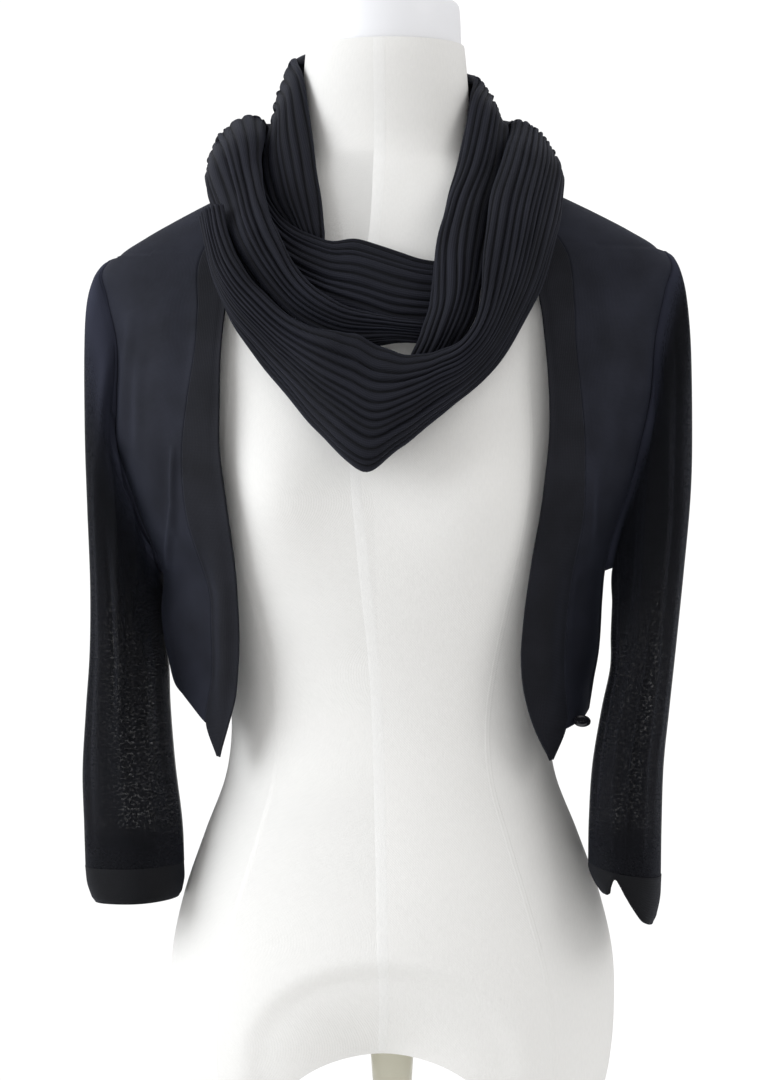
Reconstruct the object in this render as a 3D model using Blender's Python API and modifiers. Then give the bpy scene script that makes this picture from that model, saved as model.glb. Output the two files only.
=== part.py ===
"""Cropped open-front knit cardigan with a ribbed loop collar, on a limbless dress form.

Frame: metres, +Z up, origin at the centre of the stand's underside. The form faces -Y, and +X is
the wearer's left. The tables hold millimetres, which is how a pattern maker writes them.
A ring is a level section: angle 0 faces the front, +90 degrees faces +X, 180 the back.
"""
import math

import bmesh
import bpy
import numpy as np
from mathutils import Vector

MM = 0.001
SEAM_GAP = 0.35              # mm between two pieces that are sewn together
SEAM_PULL, TIP_PULL = 0.45, 0.8      # mm, each panel stops this short of a seam, more at the tip
BAND_GAP = 1.0               # mm between the band and the front at the outer surface
CLEARANCE = 0.6              # mm between the form and the cloth that lies on it
CLOTH = 1.5                  # mm, wall of the fine knit
CUFF_CLOTH = 2.4             # mm, the hem of the sleeve is folded double
RIB_WALL = 2.2               # mm, plain wall of the ribbed knit
RIB_HEIGHT = 1.0             # mm, ribs stand this far over that wall

LEFT, RIGHT = -1, 1          # the viewer's sides, as seen from the front

# ---- the dress form
# z, half width, depth in front of and behind the shoulder line
FORM_RINGS = [
    (170, 138, 62, 72), (176, 143, 72, 82), (190, 148, 82, 94), (217, 153, 91, 105),
    (247, 155, 96, 112), (281, 154, 98, 114), (319, 146, 96, 108), (365, 130, 88, 94),
    (405, 115, 82, 81), (440, 111, 80, 75), (480, 116, 84, 75), (520, 127, 93, 80),
    (560, 138, 102, 86), (600, 147, 107, 90), (640, 151, 106, 94), (680, 154, 99, 97),
    (707, 162, 90, 97), (725, 175, 83, 96), (742, 185, 76, 94), (757, 189, 70, 91),
    (766, 186, 67, 89), (778, 168, 63, 86), (790, 146, 60, 83), (802, 122, 57, 79),
    (813, 99, 54, 75), (823, 79, 51, 71), (832, 66, 48, 68), (843, 61, 46, 66),
    (862, 59, 46, 65), (888, 57.5, 48, 65), (906, 56, 48.5, 64.6), (911.6, 55.4, 48, 64.2),
]
FORM_SIDES = 30
RINGS_BETWEEN = (232, 300, 342, 385, 422, 460, 500, 540, 580, 620, 660)     # z of further rings
BUST_HEIGHT, BUST_APART, BUST_FULL = 598, 76, 17      # mm: level, half distance, projection
BUST_WIDE, BUST_TALL = 40, 46                         # mm: spread of each side of the bust
ARCH_TOP, ARCH_SPRING, ARCH_WIDE = 220, 168, 76       # mm: the arch between the thigh stubs
NECK_TOP, NECK_CENTRE_Y = 912, 8.5
# radius and z of the turned neck cap, from its top down
CAP_PROFILE = [(0, 946), (38, 945.6), (48, 944.4), (51.5, 941.5), (52.2, 936), (52.8, NECK_TOP),
               (0, NECK_TOP)]

# ---- the stand
COLLAR_LOW, COLLAR_TOP, BASE_TOP = 168, ARCH_TOP - 1.6, 22
HARD_GAP = 0.3               # mm between two hard pieces that stand on each other
# radius and z of the turned pieces, from the top down
COLLAR_PROFILE = [(0, COLLAR_TOP), (15.5, COLLAR_TOP), (15.5, COLLAR_TOP - 5), (12, COLLAR_LOW),
                  (0, COLLAR_LOW)]
POLE_PROFILE = [(0, COLLAR_LOW - HARD_GAP), (11, COLLAR_LOW - HARD_GAP), (11, BASE_TOP + HARD_GAP),
                (0, BASE_TOP + HARD_GAP)]
BASE_PROFILE = [(0, BASE_TOP), (24, BASE_TOP), (40, 17), (80, 13), (120, 9.5), (138, 8), (140, 6),
                (140, 0), (0, 0)]

# ---- the body of the cardigan
# z, how far the cloth hangs out from the form: in front, behind
EASE = [
    (410, 26, 20), (440, 24, 20), (480, 18, 18), (520, 11, 15), (560, 6, 10), (600, 3, 6),
    (650, 2, 2.5), (740, 1.6, 2), (766, 0.3, 0.6), (800, 0.3, 0.6), (840, 0.3, 0.6),
]
# z, outer edge of the body from the centre: shoulder line, armhole seam, side seam
BODY_EDGE = {
    LEFT: [(410, 138), (440, 143), (478, 154), (518, 158.8), (545, 158), (581, 170), (609, 179),
           (637, 187), (665, 187), (707, 187), (740, 195), (758, 199), (767, 194)],
    RIGHT: [(410, 134), (440, 138), (465, 142), (490, 146), (525, 149), (545, 151), (581, 160),
            (609, 170), (637, 177), (665, 183), (707, 187), (740, 194), (758, 198), (767, 193)],
}
# z, inner and outer edge of the front band from the centre
BAND_EDGES = {
    LEFT: [(421, 111, 113), (441, 104, 121), (459, 98, 122), (481, 95, 120), (514, 94, 120),
           (528, 94.5, 120), (555, 96, 125), (596, 100, 132), (629, 104.5, 132.5), (663, 105.5, 129),
           (700, 105.5, 124), (724, 103.5, 123), (764, 96, 122), (790, 82, 107), (814, 62, 84)],
    RIGHT: [(418, 114, 116), (437, 105, 124), (466, 97, 127), (486, 95.5, 127), (513, 97.5, 129),
            (553, 103.5, 133.5), (587, 110, 138), (613, 113.5, 139), (640, 116, 138.5),
            (660, 116, 137), (701, 113, 133), (728, 109.5, 132), (764, 99, 126),
            (790, 82, 107), (814, 62, 84)],
}
NECK_EDGE = 814              # z of the neckline, under the collar
SHOULDER_TIP, ARMPIT = 767, 545
SHOULDER_LIFT, SHOULDER_OUT = 2.4, 2.6     # mm: the cloth over the form's shoulder line
SIDE_HEM = {LEFT: 478, RIGHT: 450}
POINT_HEM = {LEFT: 441, RIGHT: 437}
ARMHOLE_HALF_DEPTH = 27
NEAREST_SIDE = 0.96          # sine of the widest angle at which a front may start

# ---- the sleeves
# outer x and z, inner x and z, half depth front to back, middle in y
SLEEVE_ROWS = {
    LEFT: [(204, 750, 148, 542, 32, 0), (209.5, 722, 149, 537, 39, 0), (212, 688, 155, 531, 46, 0),
           (213, 645, 160, 523, 53, 0), (211, 596, 159.5, 512, 57, -2), (208.5, 541, 158.5, 498, 59, -5),
           (208.5, 493, 155.6, 478, 58, -9), (211, 452, 154, 452, 55, -13), (213.3, 409, 150, 412, 51, -17),
           (212, 371, 144.5, 373, 47, -21), (210.8, 343, 142.8, 345, 45, -24)],
    RIGHT: [(203, 748, 147, 542, 32, 0), (208, 718, 146, 537, 39, 0), (211.5, 685, 150.5, 531, 46, 0),
            (212, 640, 155.6, 524, 53, 0), (210.5, 596, 155.2, 514, 57, -2), (205.5, 545, 154.6, 500, 59, -6),
            (199.5, 491, 154, 478, 58, -11), (194.5, 448, 148, 450, 56, -16),
            (190.5, 412, 141.5, 412, 54, -22), (188.8, 372, 139, 376, 52, -28),
            (188, 338, 138.4, 348, 50, -34)],
}
CUFF_ROWS = {
    LEFT: [(211, 343, 143, 345, 45.4, -24), (209, 331, 143, 333, 45, -25),
           (205, 319, 145, 321, 44, -26)],
    RIGHT: [(188.4, 338, 138.6, 348, 50.4, -34), (187, 322, 139, 338, 50, -36),
            (184, 307, 142, 328, 49, -38)],
}
SEAM_BLEND = (0.25, 0.5, 0.75)         # the first rows of a sleeve still follow its armhole
SEAM_REACH = (8, 14, 18)               # mm, and stand out from it by this
SLEEVE_SIDES = 22
SLEEVE_FOLDS, SLEEVE_FOLD_SHARE = 3, 0.044     # soft lengthwise folds, and their share of the depth
SEAM_LIP = 2.5                         # mm, the sleeve turns down this far outside its seam
LIP_SPREAD, LIP_DROP = 0.025, 0.4      # its rings grow by this in depth and height, a mm outwards

# ---- the ribbed loop collar
# each stretch is a row of sections, and a section is three points (x, y, z):
# one edge, the crown of the roll, the other edge
FRONT_DRAPE = [
    ((-118, -54, 787), (-118, -75, 791), (-102, -88, 794)),
    ((-114, -67, 767), (-111, -90, 769), (-96, -98, 771)),
    ((-108, -79, 744), (-103, -103, 748), (-87, -107, 752)),
    ((-96, -93, 717), (-88, -113, 726), (-74, -111, 734)),
    ((-75, -105, 687), (-62, -123, 702), (-52, -118, 714)),
    ((-46, -117, 652), (-35, -137, 680), (-27, -123, 705)),
    ((-24, -129, 629), (-15, -144, 660), (-10, -122, 704)),
    ((-3, -135, 613), (5, -146, 653), (9, -122, 693)),
    ((19, -131, 629), (26, -143, 658), (29, -124, 689)),
    ((44, -123, 650), (45, -137, 668), (46, -126, 692)),
    ((64, -111, 666), (63, -131, 682), (63, -126, 701)),
    ((85, -97, 688), (78, -124, 703), (72, -121, 720)),
    ((107, -79, 732), (92, -110, 738), (74, -110, 753)),
    ((120, -61, 778), (106, -88, 784), (76, -86, 793)),
    ((121, -32, 810), (115, -50, 822), (85, -46, 832)),
    ((119, 0, 819), (111, -6, 846), (88, -4, 857)),
]
BACK_OUTER = [
    ((119, 0, 819), (111, -6, 846), (88, -4, 857)),
    ((110, 36, 816), (104, 38, 846), (82, 34, 862)),
    ((88, 68, 812), (84, 74, 845), (68, 66, 868)),
    ((50, 96, 800), (48, 104, 838), (40, 92, 868)),
    ((0, 106, 792), (0, 114, 832), (0, 101, 868)),
    ((-50, 96, 800), (-50, 104, 838), (-42, 92, 868)),
    ((-90, 68, 812), (-88, 74, 845), (-70, 66, 868)),
    ((-115, 36, 816), (-110, 38, 849), (-84, 34, 862)),
    ((-121, 2, 814), (-117, 0, 853), (-84, 0, 861)),
]
OUTER_LEFT = [
    ((-121, 2, 814), (-117, 0, 853), (-84, 0, 861)),
    ((-116, -36, 805), (-109, -51, 832), (-80, -34, 847)),
    ((-108, -56, 781), (-97, -79, 800), (-80, -55, 825)),
    ((-99, -73, 757), (-85, -100, 775), (-75, -77, 799)),
    ((-79, -87, 732), (-70, -108, 749), (-64, -93, 772)),
    ((-51, -99, 707), (-49, -113, 724), (-48, -105, 745)),
    ((-19, -106, 694), (-21, -114, 709), (-24, -110, 726)),
    ((16, -105, 699), (13, -111, 706), (9, -108, 716)),
    ((44, -100, 697), (44, -106, 704), (44, -102, 711)),
]
UPPER_FRONT = [
    ((-86, -50, 819), (-88, -62, 803), (-85, -64, 785)),
    ((-64, -72, 786), (-64, -84, 767), (-63, -86, 749)),
    ((-35, -77, 770), (-35, -93, 750), (-35, -95, 730)),
    ((-12, -78, 770), (-11, -96, 744), (-11, -97, 720)),
    ((16, -79, 760), (16, -98, 734), (16, -97, 713)),
    ((41, -78, 754), (41, -95, 730), (38, -95, 713)),
    ((60, -78, 754), (62, -94, 734), (60, -95, 718)),
]
INNER_LEFT = [
    ((-63, 8, 906), (-76, 6, 883), (-83, 6, 845)),
    ((-57, -17, 891), (-68, -24, 873), (-82, -17, 841)),
    ((-49, -38, 850), (-64, -47, 842), (-80, -31, 828)),
    ((-42, -56, 813), (-57, -64, 807), (-74, -50, 808)),
    ((-37, -68, 782), (-50, -73, 782), (-64, -62, 785)),
    ((-36, -71.6, 770), (-46, -74.6, 772), (-58, -69.6, 775)),
]
BACK_INNER = [
    ((-63, 8, 906), (-76, 6, 883), (-83, 6, 845)),
    ((-55, 50, 912), (-67, 54, 888), (-73, 55, 825)),
    ((-30, 73, 914), (-34, 84, 888), (-37, 73.5, 815)),
    ((0, 78, 912), (0, 92, 886), (0, 77.8, 814.4)),
    ((30, 73, 904), (34, 84, 882), (37, 73.5, 815)),
    ((54, 50, 896), (64, 56, 878), (73, 55, 825)),
    ((61, 8, 889), (74, 8, 877), (82, 8, 850)),
]
INNER_RIGHT = [
    ((61, 8, 889), (74, 8, 877), (82, 8, 850)),
    ((60, -17, 865), (74, -26, 862), (86, -8, 846)),
    ((55, -40, 827), (70, -52, 824), (86, -32, 819)),
    ((48, -64, 795), (62, -79, 793), (82, -60, 793)),
    ((42, -83, 764), (58, -100, 762), (78, -82, 765)),
    ((39, -103, 726), (56, -114, 729), (72, -97, 738)),
    ((34, -110, 706), (49, -118, 707), (68, -108, 714)),
    ((25, -111, 688), (38, -115, 687), (56, -109, 694)),
    ((17, -114, 673), (29, -119, 672), (43, -114, 675)),
]

BUTTON_RADIUS, BUTTON_THICK, BUTTON_SHANK = 6, 2.4, 0.7
BUTTON_X, BUTTON_Z = 129, 444
BUTTON_FACES = (0.08, -0.55, 0.83)     # it hangs from its thread with its face tipped up


# ---- reading the tables
def sample(table, key):
    """The values of a table at key, on a smooth curve through its rows."""
    keys = np.array([row[0] for row in table], dtype=float)
    values = np.array([row[1:] for row in table], dtype=float)
    order = np.argsort(keys)
    keys, values = keys[order], values[order]
    slopes = np.gradient(values, keys, axis=0)
    i = int(np.clip(np.searchsorted(keys, key) - 1, 0, len(keys) - 2))
    step = keys[i + 1] - keys[i]
    t = float(np.clip((key - keys[i]) / step, 0.0, 1.0))
    return ((2 * t**3 - 3 * t**2 + 1) * values[i] + (t**3 - 2 * t**2 + t) * step * slopes[i]
            + (3 * t**2 - 2 * t**3) * values[i + 1] + (t**3 - t**2) * step * slopes[i + 1])


def sections(rows, count):
    """count sections on a smooth run through the rows of three points."""
    table = [(k, *np.ravel(row)) for k, row in enumerate(rows)]
    return [sample(table, k).reshape(3, 3) for k in np.linspace(0, len(rows) - 1, count)]


# ---- rings of the form and of the cloth
def bust(x, z, facing):
    """How far the bust stands forward at a point that faces the front by facing, 0 to 1."""
    swell = sum(math.exp(-((x - side * BUST_APART) / BUST_WIDE) ** 2) for side in (LEFT, RIGHT))
    return BUST_FULL * swell * math.exp(-((z - BUST_HEIGHT) / BUST_TALL) ** 2) * max(facing, 0.0)


def form_point(angle, z):
    wide, front, back = sample(FORM_RINGS, z)
    x, facing = wide * math.sin(angle), math.cos(angle)
    y = -front * facing - bust(x, z, facing) if facing > 0 else -back * facing
    return x, y, z


def cloth_depths(z):
    """Front and back depth of the cloth's outer surface."""
    wide, front, back = sample(FORM_RINGS, z - 0.5)
    ease_front, ease_back = sample(EASE, z)
    stand = CLEARANCE + CLOTH
    return front + ease_front + stand, back + ease_back + stand


def body_edge(side, z):
    """Distance from the centre to the outer edge of the body, at the outer surface."""
    if z > SHOULDER_TIP:
        return float(sample(FORM_RINGS, z - SHOULDER_LIFT)[0]) + SHOULDER_OUT
    return float(sample(BODY_EDGE[side], z)[0])


def edge_angle(side, z, back=False):
    """Angle of the outer edge on the ring: 90 degrees but for the open armhole."""
    if not ARMPIT < z < SHOULDER_TIP:
        return math.pi / 2
    middle, half = (SHOULDER_TIP + ARMPIT) / 2, (SHOULDER_TIP - ARMPIT) / 2
    open_half = ARMHOLE_HALF_DEPTH * math.sqrt(max(0.0, 1 - ((z - middle) / half) ** 2))
    return math.acos(open_half / cloth_depths(z)[1 if back else 0])


def seam_pull(z):
    """How far short of a side or shoulder seam a panel ends, in mm."""
    return SEAM_PULL + TIP_PULL * math.exp(-((z - SHOULDER_TIP) / 12) ** 2)


def cloth_point(side, x, z, back=False):
    """A point of the body's outer surface, from its distance to the centre and its height."""
    depth = cloth_depths(z)[1 if back else 0]
    wide = body_edge(side, z) / math.sin(edge_angle(side, z, back))
    facing = math.sqrt(max(0.0, 1 - (x / wide) ** 2))
    y = depth * facing if back else -depth * facing - bust(x, z, facing)
    return side * x, y, z


# ---- making meshes
def collection(name):
    made = bpy.data.collections.new(name)
    bpy.context.scene.collection.children.link(made)
    return made


def material(name, colour, roughness, metallic=0.0):
    made = bpy.data.materials.new(name)
    made.use_nodes = True
    shader = made.node_tree.nodes["Principled BSDF"]
    shader.inputs["Base Color"].default_value = (*colour, 1.0)
    shader.inputs["Roughness"].default_value = roughness
    shader.inputs["Metallic"].default_value = metallic
    return made


def mesh_object(name, points, faces, finish, smooth=True):
    """A named object from points in millimetres."""
    mesh = bpy.data.meshes.new(name)
    mesh.from_pydata([[c * MM for c in point] for point in points], [], faces)
    work = bmesh.new()
    work.from_mesh(mesh)
    bmesh.ops.recalc_face_normals(work, faces=work.faces)
    work.to_mesh(mesh)
    work.free()
    if smooth:
        mesh.shade_smooth()
    mesh.materials.append(finish)
    made = bpy.data.objects.new(name, mesh)
    PARTS.objects.link(made)
    return made


def grid_faces(rows, columns, closed=False):
    """Quads of a grid whose points are stored row by row."""
    last = columns if closed else columns - 1
    return [(r * columns + c, r * columns + (c + 1) % columns,
             (r + 1) * columns + (c + 1) % columns, (r + 1) * columns + c)
            for r in range(rows - 1) for c in range(last)]


def cloth_sheet(name, rows, finish, thick=CLOTH, closed=False, outside=None):
    """A sheet of cloth from its outer surface, given a wall on the side away from outside."""
    columns = len(rows[0])
    points = [point for row in rows for point in row]
    sheet = mesh_object(name, points, grid_faces(len(rows), columns, closed), finish)
    face = sheet.data.polygons[len(sheet.data.polygons) // 2]
    if face.normal.dot([a - b * MM for a, b in zip(face.center, outside)]) < 0:
        sheet.data.flip_normals()
    wall = sheet.modifiers.new("wall", "SOLIDIFY")
    wall.thickness = thick * MM
    wall.offset = -1.0
    wall.use_even_offset = True
    return sheet


def loft(name, rings, finish):
    """A closed body through rings of points, with a flat face at each end."""
    columns = len(rings[0])
    faces = grid_faces(len(rings), columns, closed=True)
    faces.append(tuple(range(columns)))
    faces.append(tuple(range((len(rings) - 1) * columns, len(rings) * columns)))
    return mesh_object(name, [point for ring in rings for point in ring], faces, finish)


def turned(name, profile, finish, steps=40, centre_y=0.0):
    """A turned piece: profile is (radius, z) from its top to its bottom."""
    mesh = bpy.data.meshes.new(name)
    points = [(radius * MM, 0.0, z * MM) for radius, z in profile]
    mesh.from_pydata(points, [(i, i + 1) for i in range(len(points) - 1)], [])
    mesh.materials.append(finish)
    made = bpy.data.objects.new(name, mesh)
    made.location.y = centre_y * MM
    PARTS.objects.link(made)
    turn = made.modifiers.new("turn", "SCREW")
    turn.steps = turn.render_steps = steps
    turn.use_merge_vertices = True
    turn.merge_threshold = 0.00001
    turn.use_smooth_shade = True
    return made


# ---- the dress form and its stand
def make_form():
    """The limbless torso: level rings, then an arch cut out between the thigh stubs."""
    heights = sorted([row[0] for row in FORM_RINGS] + list(RINGS_BETWEEN))
    angles = [math.tau * k / FORM_SIDES for k in range(FORM_SIDES)]
    torso = loft("form_torso", [[form_point(a, z) for a in angles] for z in heights], LINEN)
    bpy.ops.mesh.primitive_cylinder_add(
        vertices=32, radius=ARCH_WIDE * MM, depth=0.4, location=(0, 0, ARCH_SPRING * MM),
        rotation=(math.pi / 2, 0, 0), end_fill_type="NGON")
    cutter = bpy.context.object
    cutter.name = "arch_cutter"
    cutter.scale.y = (ARCH_TOP - ARCH_SPRING) / ARCH_WIDE
    for holder in cutter.users_collection:
        holder.objects.unlink(cutter)
    CUTTERS.objects.link(cutter)
    cutter.hide_render = True
    cutter.display_type = "WIRE"
    cut = torso.modifiers.new("arch", "BOOLEAN")
    cut.operation = "DIFFERENCE"
    cut.object = cutter
    return torso


def make_neck_cap():
    return turned("neck_cap", CAP_PROFILE, CAP, centre_y=NECK_CENTRE_Y)


def make_stand():
    """The collar under the form, the pole and the round base that stands on the table."""
    turned("pole_collar", COLLAR_PROFILE, METAL, steps=28)
    turned("pole", POLE_PROFILE, METAL, steps=28)
    turned("stand_base", BASE_PROFILE, METAL, steps=48)


def panel_levels(side):
    """Heights of the rows of a panel at its outer edge; they meet the points of the sleeve's seam."""
    middle, half = (SHOULDER_TIP + ARMPIT) / 2, (SHOULDER_TIP - ARMPIT) / 2
    above = [NECK_EDGE, NECK_EDGE - 10, NECK_EDGE - 21, NECK_EDGE - 34]
    beside = [middle + half * math.cos(math.tau * k / SLEEVE_SIDES) for k in range(SLEEVE_SIDES // 2 + 1)]
    below = list(np.linspace(ARMPIT, SIDE_HEM[side], 5)[1:])
    return np.array(above + beside + below)


# ---- the cardigan's body
def make_back(columns=15):
    """The back panel, from side seam to side seam, with the armholes cut in."""
    sheet = []
    for left_z, right_z in zip(panel_levels(LEFT), panel_levels(RIGHT)):
        line = []
        for s in np.linspace(-1, 1, columns):
            side = LEFT if s < 0 else RIGHT
            z = left_z + (right_z - left_z) * (s + 1) / 2
            angle = edge_angle(side, z, back=True)
            swept = abs(s) * (angle - seam_pull(z) / body_edge(side, z))
            wide = body_edge(side, z) / math.sin(angle)
            line.append(cloth_point(side, wide * math.sin(swept), z, back=True))
        sheet.append(line)
    return cloth_sheet("back_panel", sheet, KNIT, outside=(0, 0, 640))


def make_front(side, name, columns=8):
    """One front panel, from the band to the shoulder, the armhole and the side seam."""
    stretch = (NECK_EDGE - POINT_HEM[side]) / (NECK_EDGE - SIDE_HEM[side])
    sheet = []
    for level in panel_levels(side):
        line = []
        for s in np.linspace(0, 1, columns):
            z = (1 - s) * (NECK_EDGE - (NECK_EDGE - level) * stretch) + s * level
            angle = edge_angle(side, z)
            wide = body_edge(side, z) / math.sin(angle)
            start = math.asin(min(NEAREST_SIDE, (float(sample(BAND_EDGES[side], z)[1]) + BAND_GAP) / wide))
            end = angle - seam_pull(z) / body_edge(side, z)
            line.append(cloth_point(side, wide * math.sin(start + (end - start) * s), z))
        sheet.append(line)
    return cloth_sheet(name, sheet, KNIT, outside=(0, 0, 640))


def make_band(side, name, columns=4, rows=27):
    """The plain band along the open front, down to the point of the hem."""
    low = BAND_EDGES[side][0][0]
    sheet = []
    for t in np.linspace(0, 1, rows):
        z = NECK_EDGE + (low - NECK_EDGE) * t
        inner, outer = sample(BAND_EDGES[side], z)
        sheet.append([cloth_point(side, x, z) for x in np.linspace(inner, outer, columns)])
    return cloth_sheet(name, sheet, KNIT, outside=(0, 0, 640))


# ---- the sleeves
def armhole_ring(side, out=0.0):
    """The sleeve's seam round the armhole, moved out from the body by a distance."""
    middle, half = (SHOULDER_TIP + ARMPIT) / 2, (SHOULDER_TIP - ARMPIT) / 2
    ring = []
    for k in range(SLEEVE_SIDES):
        turn = math.tau * k / SLEEVE_SIDES
        z = middle + half * math.cos(turn)
        deep = ARMHOLE_HALF_DEPTH * (1 + LIP_SPREAD * out)
        x = side * (body_edge(side, z) + out)
        ring.append((x, -deep * math.sin(turn), z - LIP_DROP * out * math.cos(turn)))
    return np.array(ring)


def sleeve_ring(side, row):
    """One section of the sleeve, from its outer and inner point and its depth."""
    outer_x, outer_z, inner_x, inner_z, deep, middle_y = row
    ring = []
    for k in range(SLEEVE_SIDES):
        turn = math.tau * k / SLEEVE_SIDES
        fold = 1 - SLEEVE_FOLD_SHARE * (1 - math.cos(SLEEVE_FOLDS * turn)) * abs(math.sin(turn))
        x = (outer_x + inner_x) / 2 + (outer_x - inner_x) / 2 * math.cos(turn)
        z = (outer_z + inner_z) / 2 + (outer_z - inner_z) / 2 * math.cos(turn)
        ring.append((side * x, middle_y - deep * math.sin(turn) * fold, z))
    return np.array(ring)


def make_sleeve(side, name):
    rings = [armhole_ring(side, SEAM_GAP), armhole_ring(side, SEAM_LIP)]
    rows = [sleeve_ring(side, row) for row in SLEEVE_ROWS[side]]
    for row, blend, reach in zip(rows, SEAM_BLEND, SEAM_REACH):
        rings.append((1 - blend) * armhole_ring(side, reach) + blend * row)
    rings += rows[len(SEAM_BLEND):]
    return cloth_sheet(name, rings, KNIT, closed=True, outside=(side * 180, 0, 540))


def make_cuff(side, name):
    rings = [sleeve_ring(side, row) for row in CUFF_ROWS[side]]
    rings[0][:, 2] -= SEAM_GAP
    return cloth_sheet(name, rings, KNIT, thick=CUFF_CLOTH, closed=True, outside=(side * 180, 0, 325))


# ---- the ribbed collar
def roll_angles(half, crown, count):
    """Angles that part the half ellipse of a section into even steps along the cloth."""
    fine = np.linspace(0, math.pi, 49)
    points = np.outer(-np.cos(fine), half) + np.outer(np.sin(fine), crown)
    along = np.concatenate([[0], np.cumsum(np.linalg.norm(np.diff(points, axis=0), axis=1))])
    return np.interp(np.linspace(0, along[-1], count), along, fine)


def zip_faces(first, second):
    """Triangles between two runs of points that start and end beside each other."""
    faces, i, j = [], 0, 0
    while i < len(first) - 1 or j < len(second) - 1:
        ahead = (i + 1) / (len(first) - 1) if i < len(first) - 1 else 2
        behind = (j + 1) / (len(second) - 1) if j < len(second) - 1 else 2
        if ahead <= behind:
            faces.append((first[i], first[i + 1], second[j]))
            i += 1
        else:
            faces.append((first[i], second[j + 1], second[j]))
            j += 1
    return faces


def make_roll(name, rows, count, ribs, start_gap=0.0, end_gap=0.0):
    """A stretch of the collar: a rolled wall, ribbed outside and plain inside."""
    outer_columns, inner_columns = 2 * ribs + 1, 7
    outer, inner = [], []
    for first, crown, last in sections(rows, count):
        middle, half = (first + last) / 2, (last - first) / 2
        rise = crown - middle
        along, up = half / np.linalg.norm(half), rise / np.linalg.norm(rise)
        for j, a in enumerate(roll_angles(half, rise, outer_columns)):
            normal = -along * math.cos(a) * np.linalg.norm(rise) + up * math.sin(a) * np.linalg.norm(half)
            lift = (j % 2) * RIB_HEIGHT / np.linalg.norm(normal)
            outer.append(middle - half * math.cos(a) + rise * math.sin(a) + normal * lift)
        thin_half, thin_rise = half - along * RIB_WALL, rise - up * RIB_WALL
        for a in roll_angles(thin_half, thin_rise, inner_columns):
            inner.append(middle - thin_half * math.cos(a) + thin_rise * math.sin(a))
    place = len(outer)
    faces = grid_faces(count, outer_columns)
    faces += [tuple(place + k for k in face) for face in grid_faces(count, inner_columns)]
    for column, inside in ((0, 0), (outer_columns - 1, inner_columns - 1)):
        for r in range(count - 1):
            here, there = r * outer_columns + column, (r + 1) * outer_columns + column
            near, far = place + r * inner_columns + inside, place + (r + 1) * inner_columns + inside
            faces.append((here, there, far, near))
    for r in (0, count - 1):
        faces += zip_faces([r * outer_columns + k for k in range(outer_columns)],
                           [place + r * inner_columns + k for k in range(inner_columns)])
    for points, columns in ((outer, outer_columns), (inner, inner_columns)):
        for k in range(columns):
            for end, inward, gap in ((0, 1, start_gap), (count - 1, count - 2, end_gap)):
                step = points[inward * columns + k] - points[end * columns + k]
                points[end * columns + k] = points[end * columns + k] + step / np.linalg.norm(step) * gap
    return mesh_object(name, outer + inner, faces, RIB)


def make_collar():
    """The long ribbed loop, a node for each stretch that shows."""
    half_gap = SEAM_GAP / 2
    make_roll("collar_inner_left", INNER_LEFT, 11, 8, start_gap=half_gap)
    make_roll("collar_back_inner", BACK_INNER, 13, 8, half_gap, half_gap)
    make_roll("collar_inner_right", INNER_RIGHT, 18, 8, start_gap=half_gap)
    make_roll("collar_upper_front", UPPER_FRONT, 13, 8)
    make_roll("collar_outer_left", OUTER_LEFT, 17, 11, start_gap=half_gap)
    make_roll("collar_back_outer", BACK_OUTER, 15, 11, half_gap, half_gap)
    make_roll("collar_front_drape", FRONT_DRAPE, 27, 14, end_gap=half_gap)


def make_button():
    """The small sewn-on button at the hem of the front on the viewer's right."""
    here = np.array(cloth_point(RIGHT, BUTTON_X, BUTTON_Z))
    across = np.array(cloth_point(RIGHT, BUTTON_X + 1, BUTTON_Z)) - here
    down = np.array(cloth_point(RIGHT, BUTTON_X, BUTTON_Z - 1)) - here
    out = Vector(np.cross(across, down)).normalized()
    if out.y > 0:
        out.negate()
    faces = Vector(BUTTON_FACES).normalized()
    tip = abs(faces.dot(out))
    reach = BUTTON_RADIUS * math.sqrt(1 - tip ** 2) + BUTTON_THICK / 2 * tip
    bpy.ops.mesh.primitive_cylinder_add(vertices=20, radius=BUTTON_RADIUS * MM, depth=BUTTON_THICK * MM)
    button = bpy.context.object
    button.name = "button"
    for holder in button.users_collection:
        holder.objects.unlink(button)
    PARTS.objects.link(button)
    button.rotation_mode = "QUATERNION"
    button.rotation_quaternion = faces.to_track_quat("Z", "Y")
    button.location = (Vector(here) + out * (reach + BUTTON_SHANK)) * MM
    button.data.materials.append(BUTTON)
    return button


# ---- the whole
for old in list(bpy.data.objects):
    bpy.data.objects.remove(old, do_unlink=True)
PARTS = collection("cardigan_on_dress_form")
CUTTERS = collection("cutters")
KNIT = material("fine_knit", (0.012, 0.013, 0.02), 0.85)
RIB = material("rib_knit", (0.012, 0.013, 0.022), 0.8)
LINEN = material("form_linen", (0.76, 0.75, 0.71), 0.9)
CAP = material("cap_plastic", (0.86, 0.86, 0.86), 0.45)
METAL = material("stand_enamel", (0.8, 0.78, 0.72), 0.4)
BUTTON = material("button_plastic", (0.02, 0.02, 0.025), 0.25)

make_form()
make_neck_cap()
make_stand()
make_back()
for side, name in ((LEFT, "left"), (RIGHT, "right")):
    make_front(side, "front_panel_" + name)
    make_band(side, "front_band_" + name)
    make_sleeve(side, "sleeve_" + name)
    make_cuff(side, "cuff_" + name)
make_collar()
make_button()
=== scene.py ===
# %% [markdown]
# # A cropped navy cardigan on a dress form
# The real thing is a fine-gauge knit cardigan: open fronts with plain bands, three-quarter sleeves
# in a thinner, see-through jersey, and a long ribbed loop that is sewn on as the collar. It hangs on
# a limbless linen dress form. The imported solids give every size, so the first cell loads them.

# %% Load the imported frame
import math

import bmesh
import bpy
import numpy as np
from mathutils import Matrix, Vector


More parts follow.
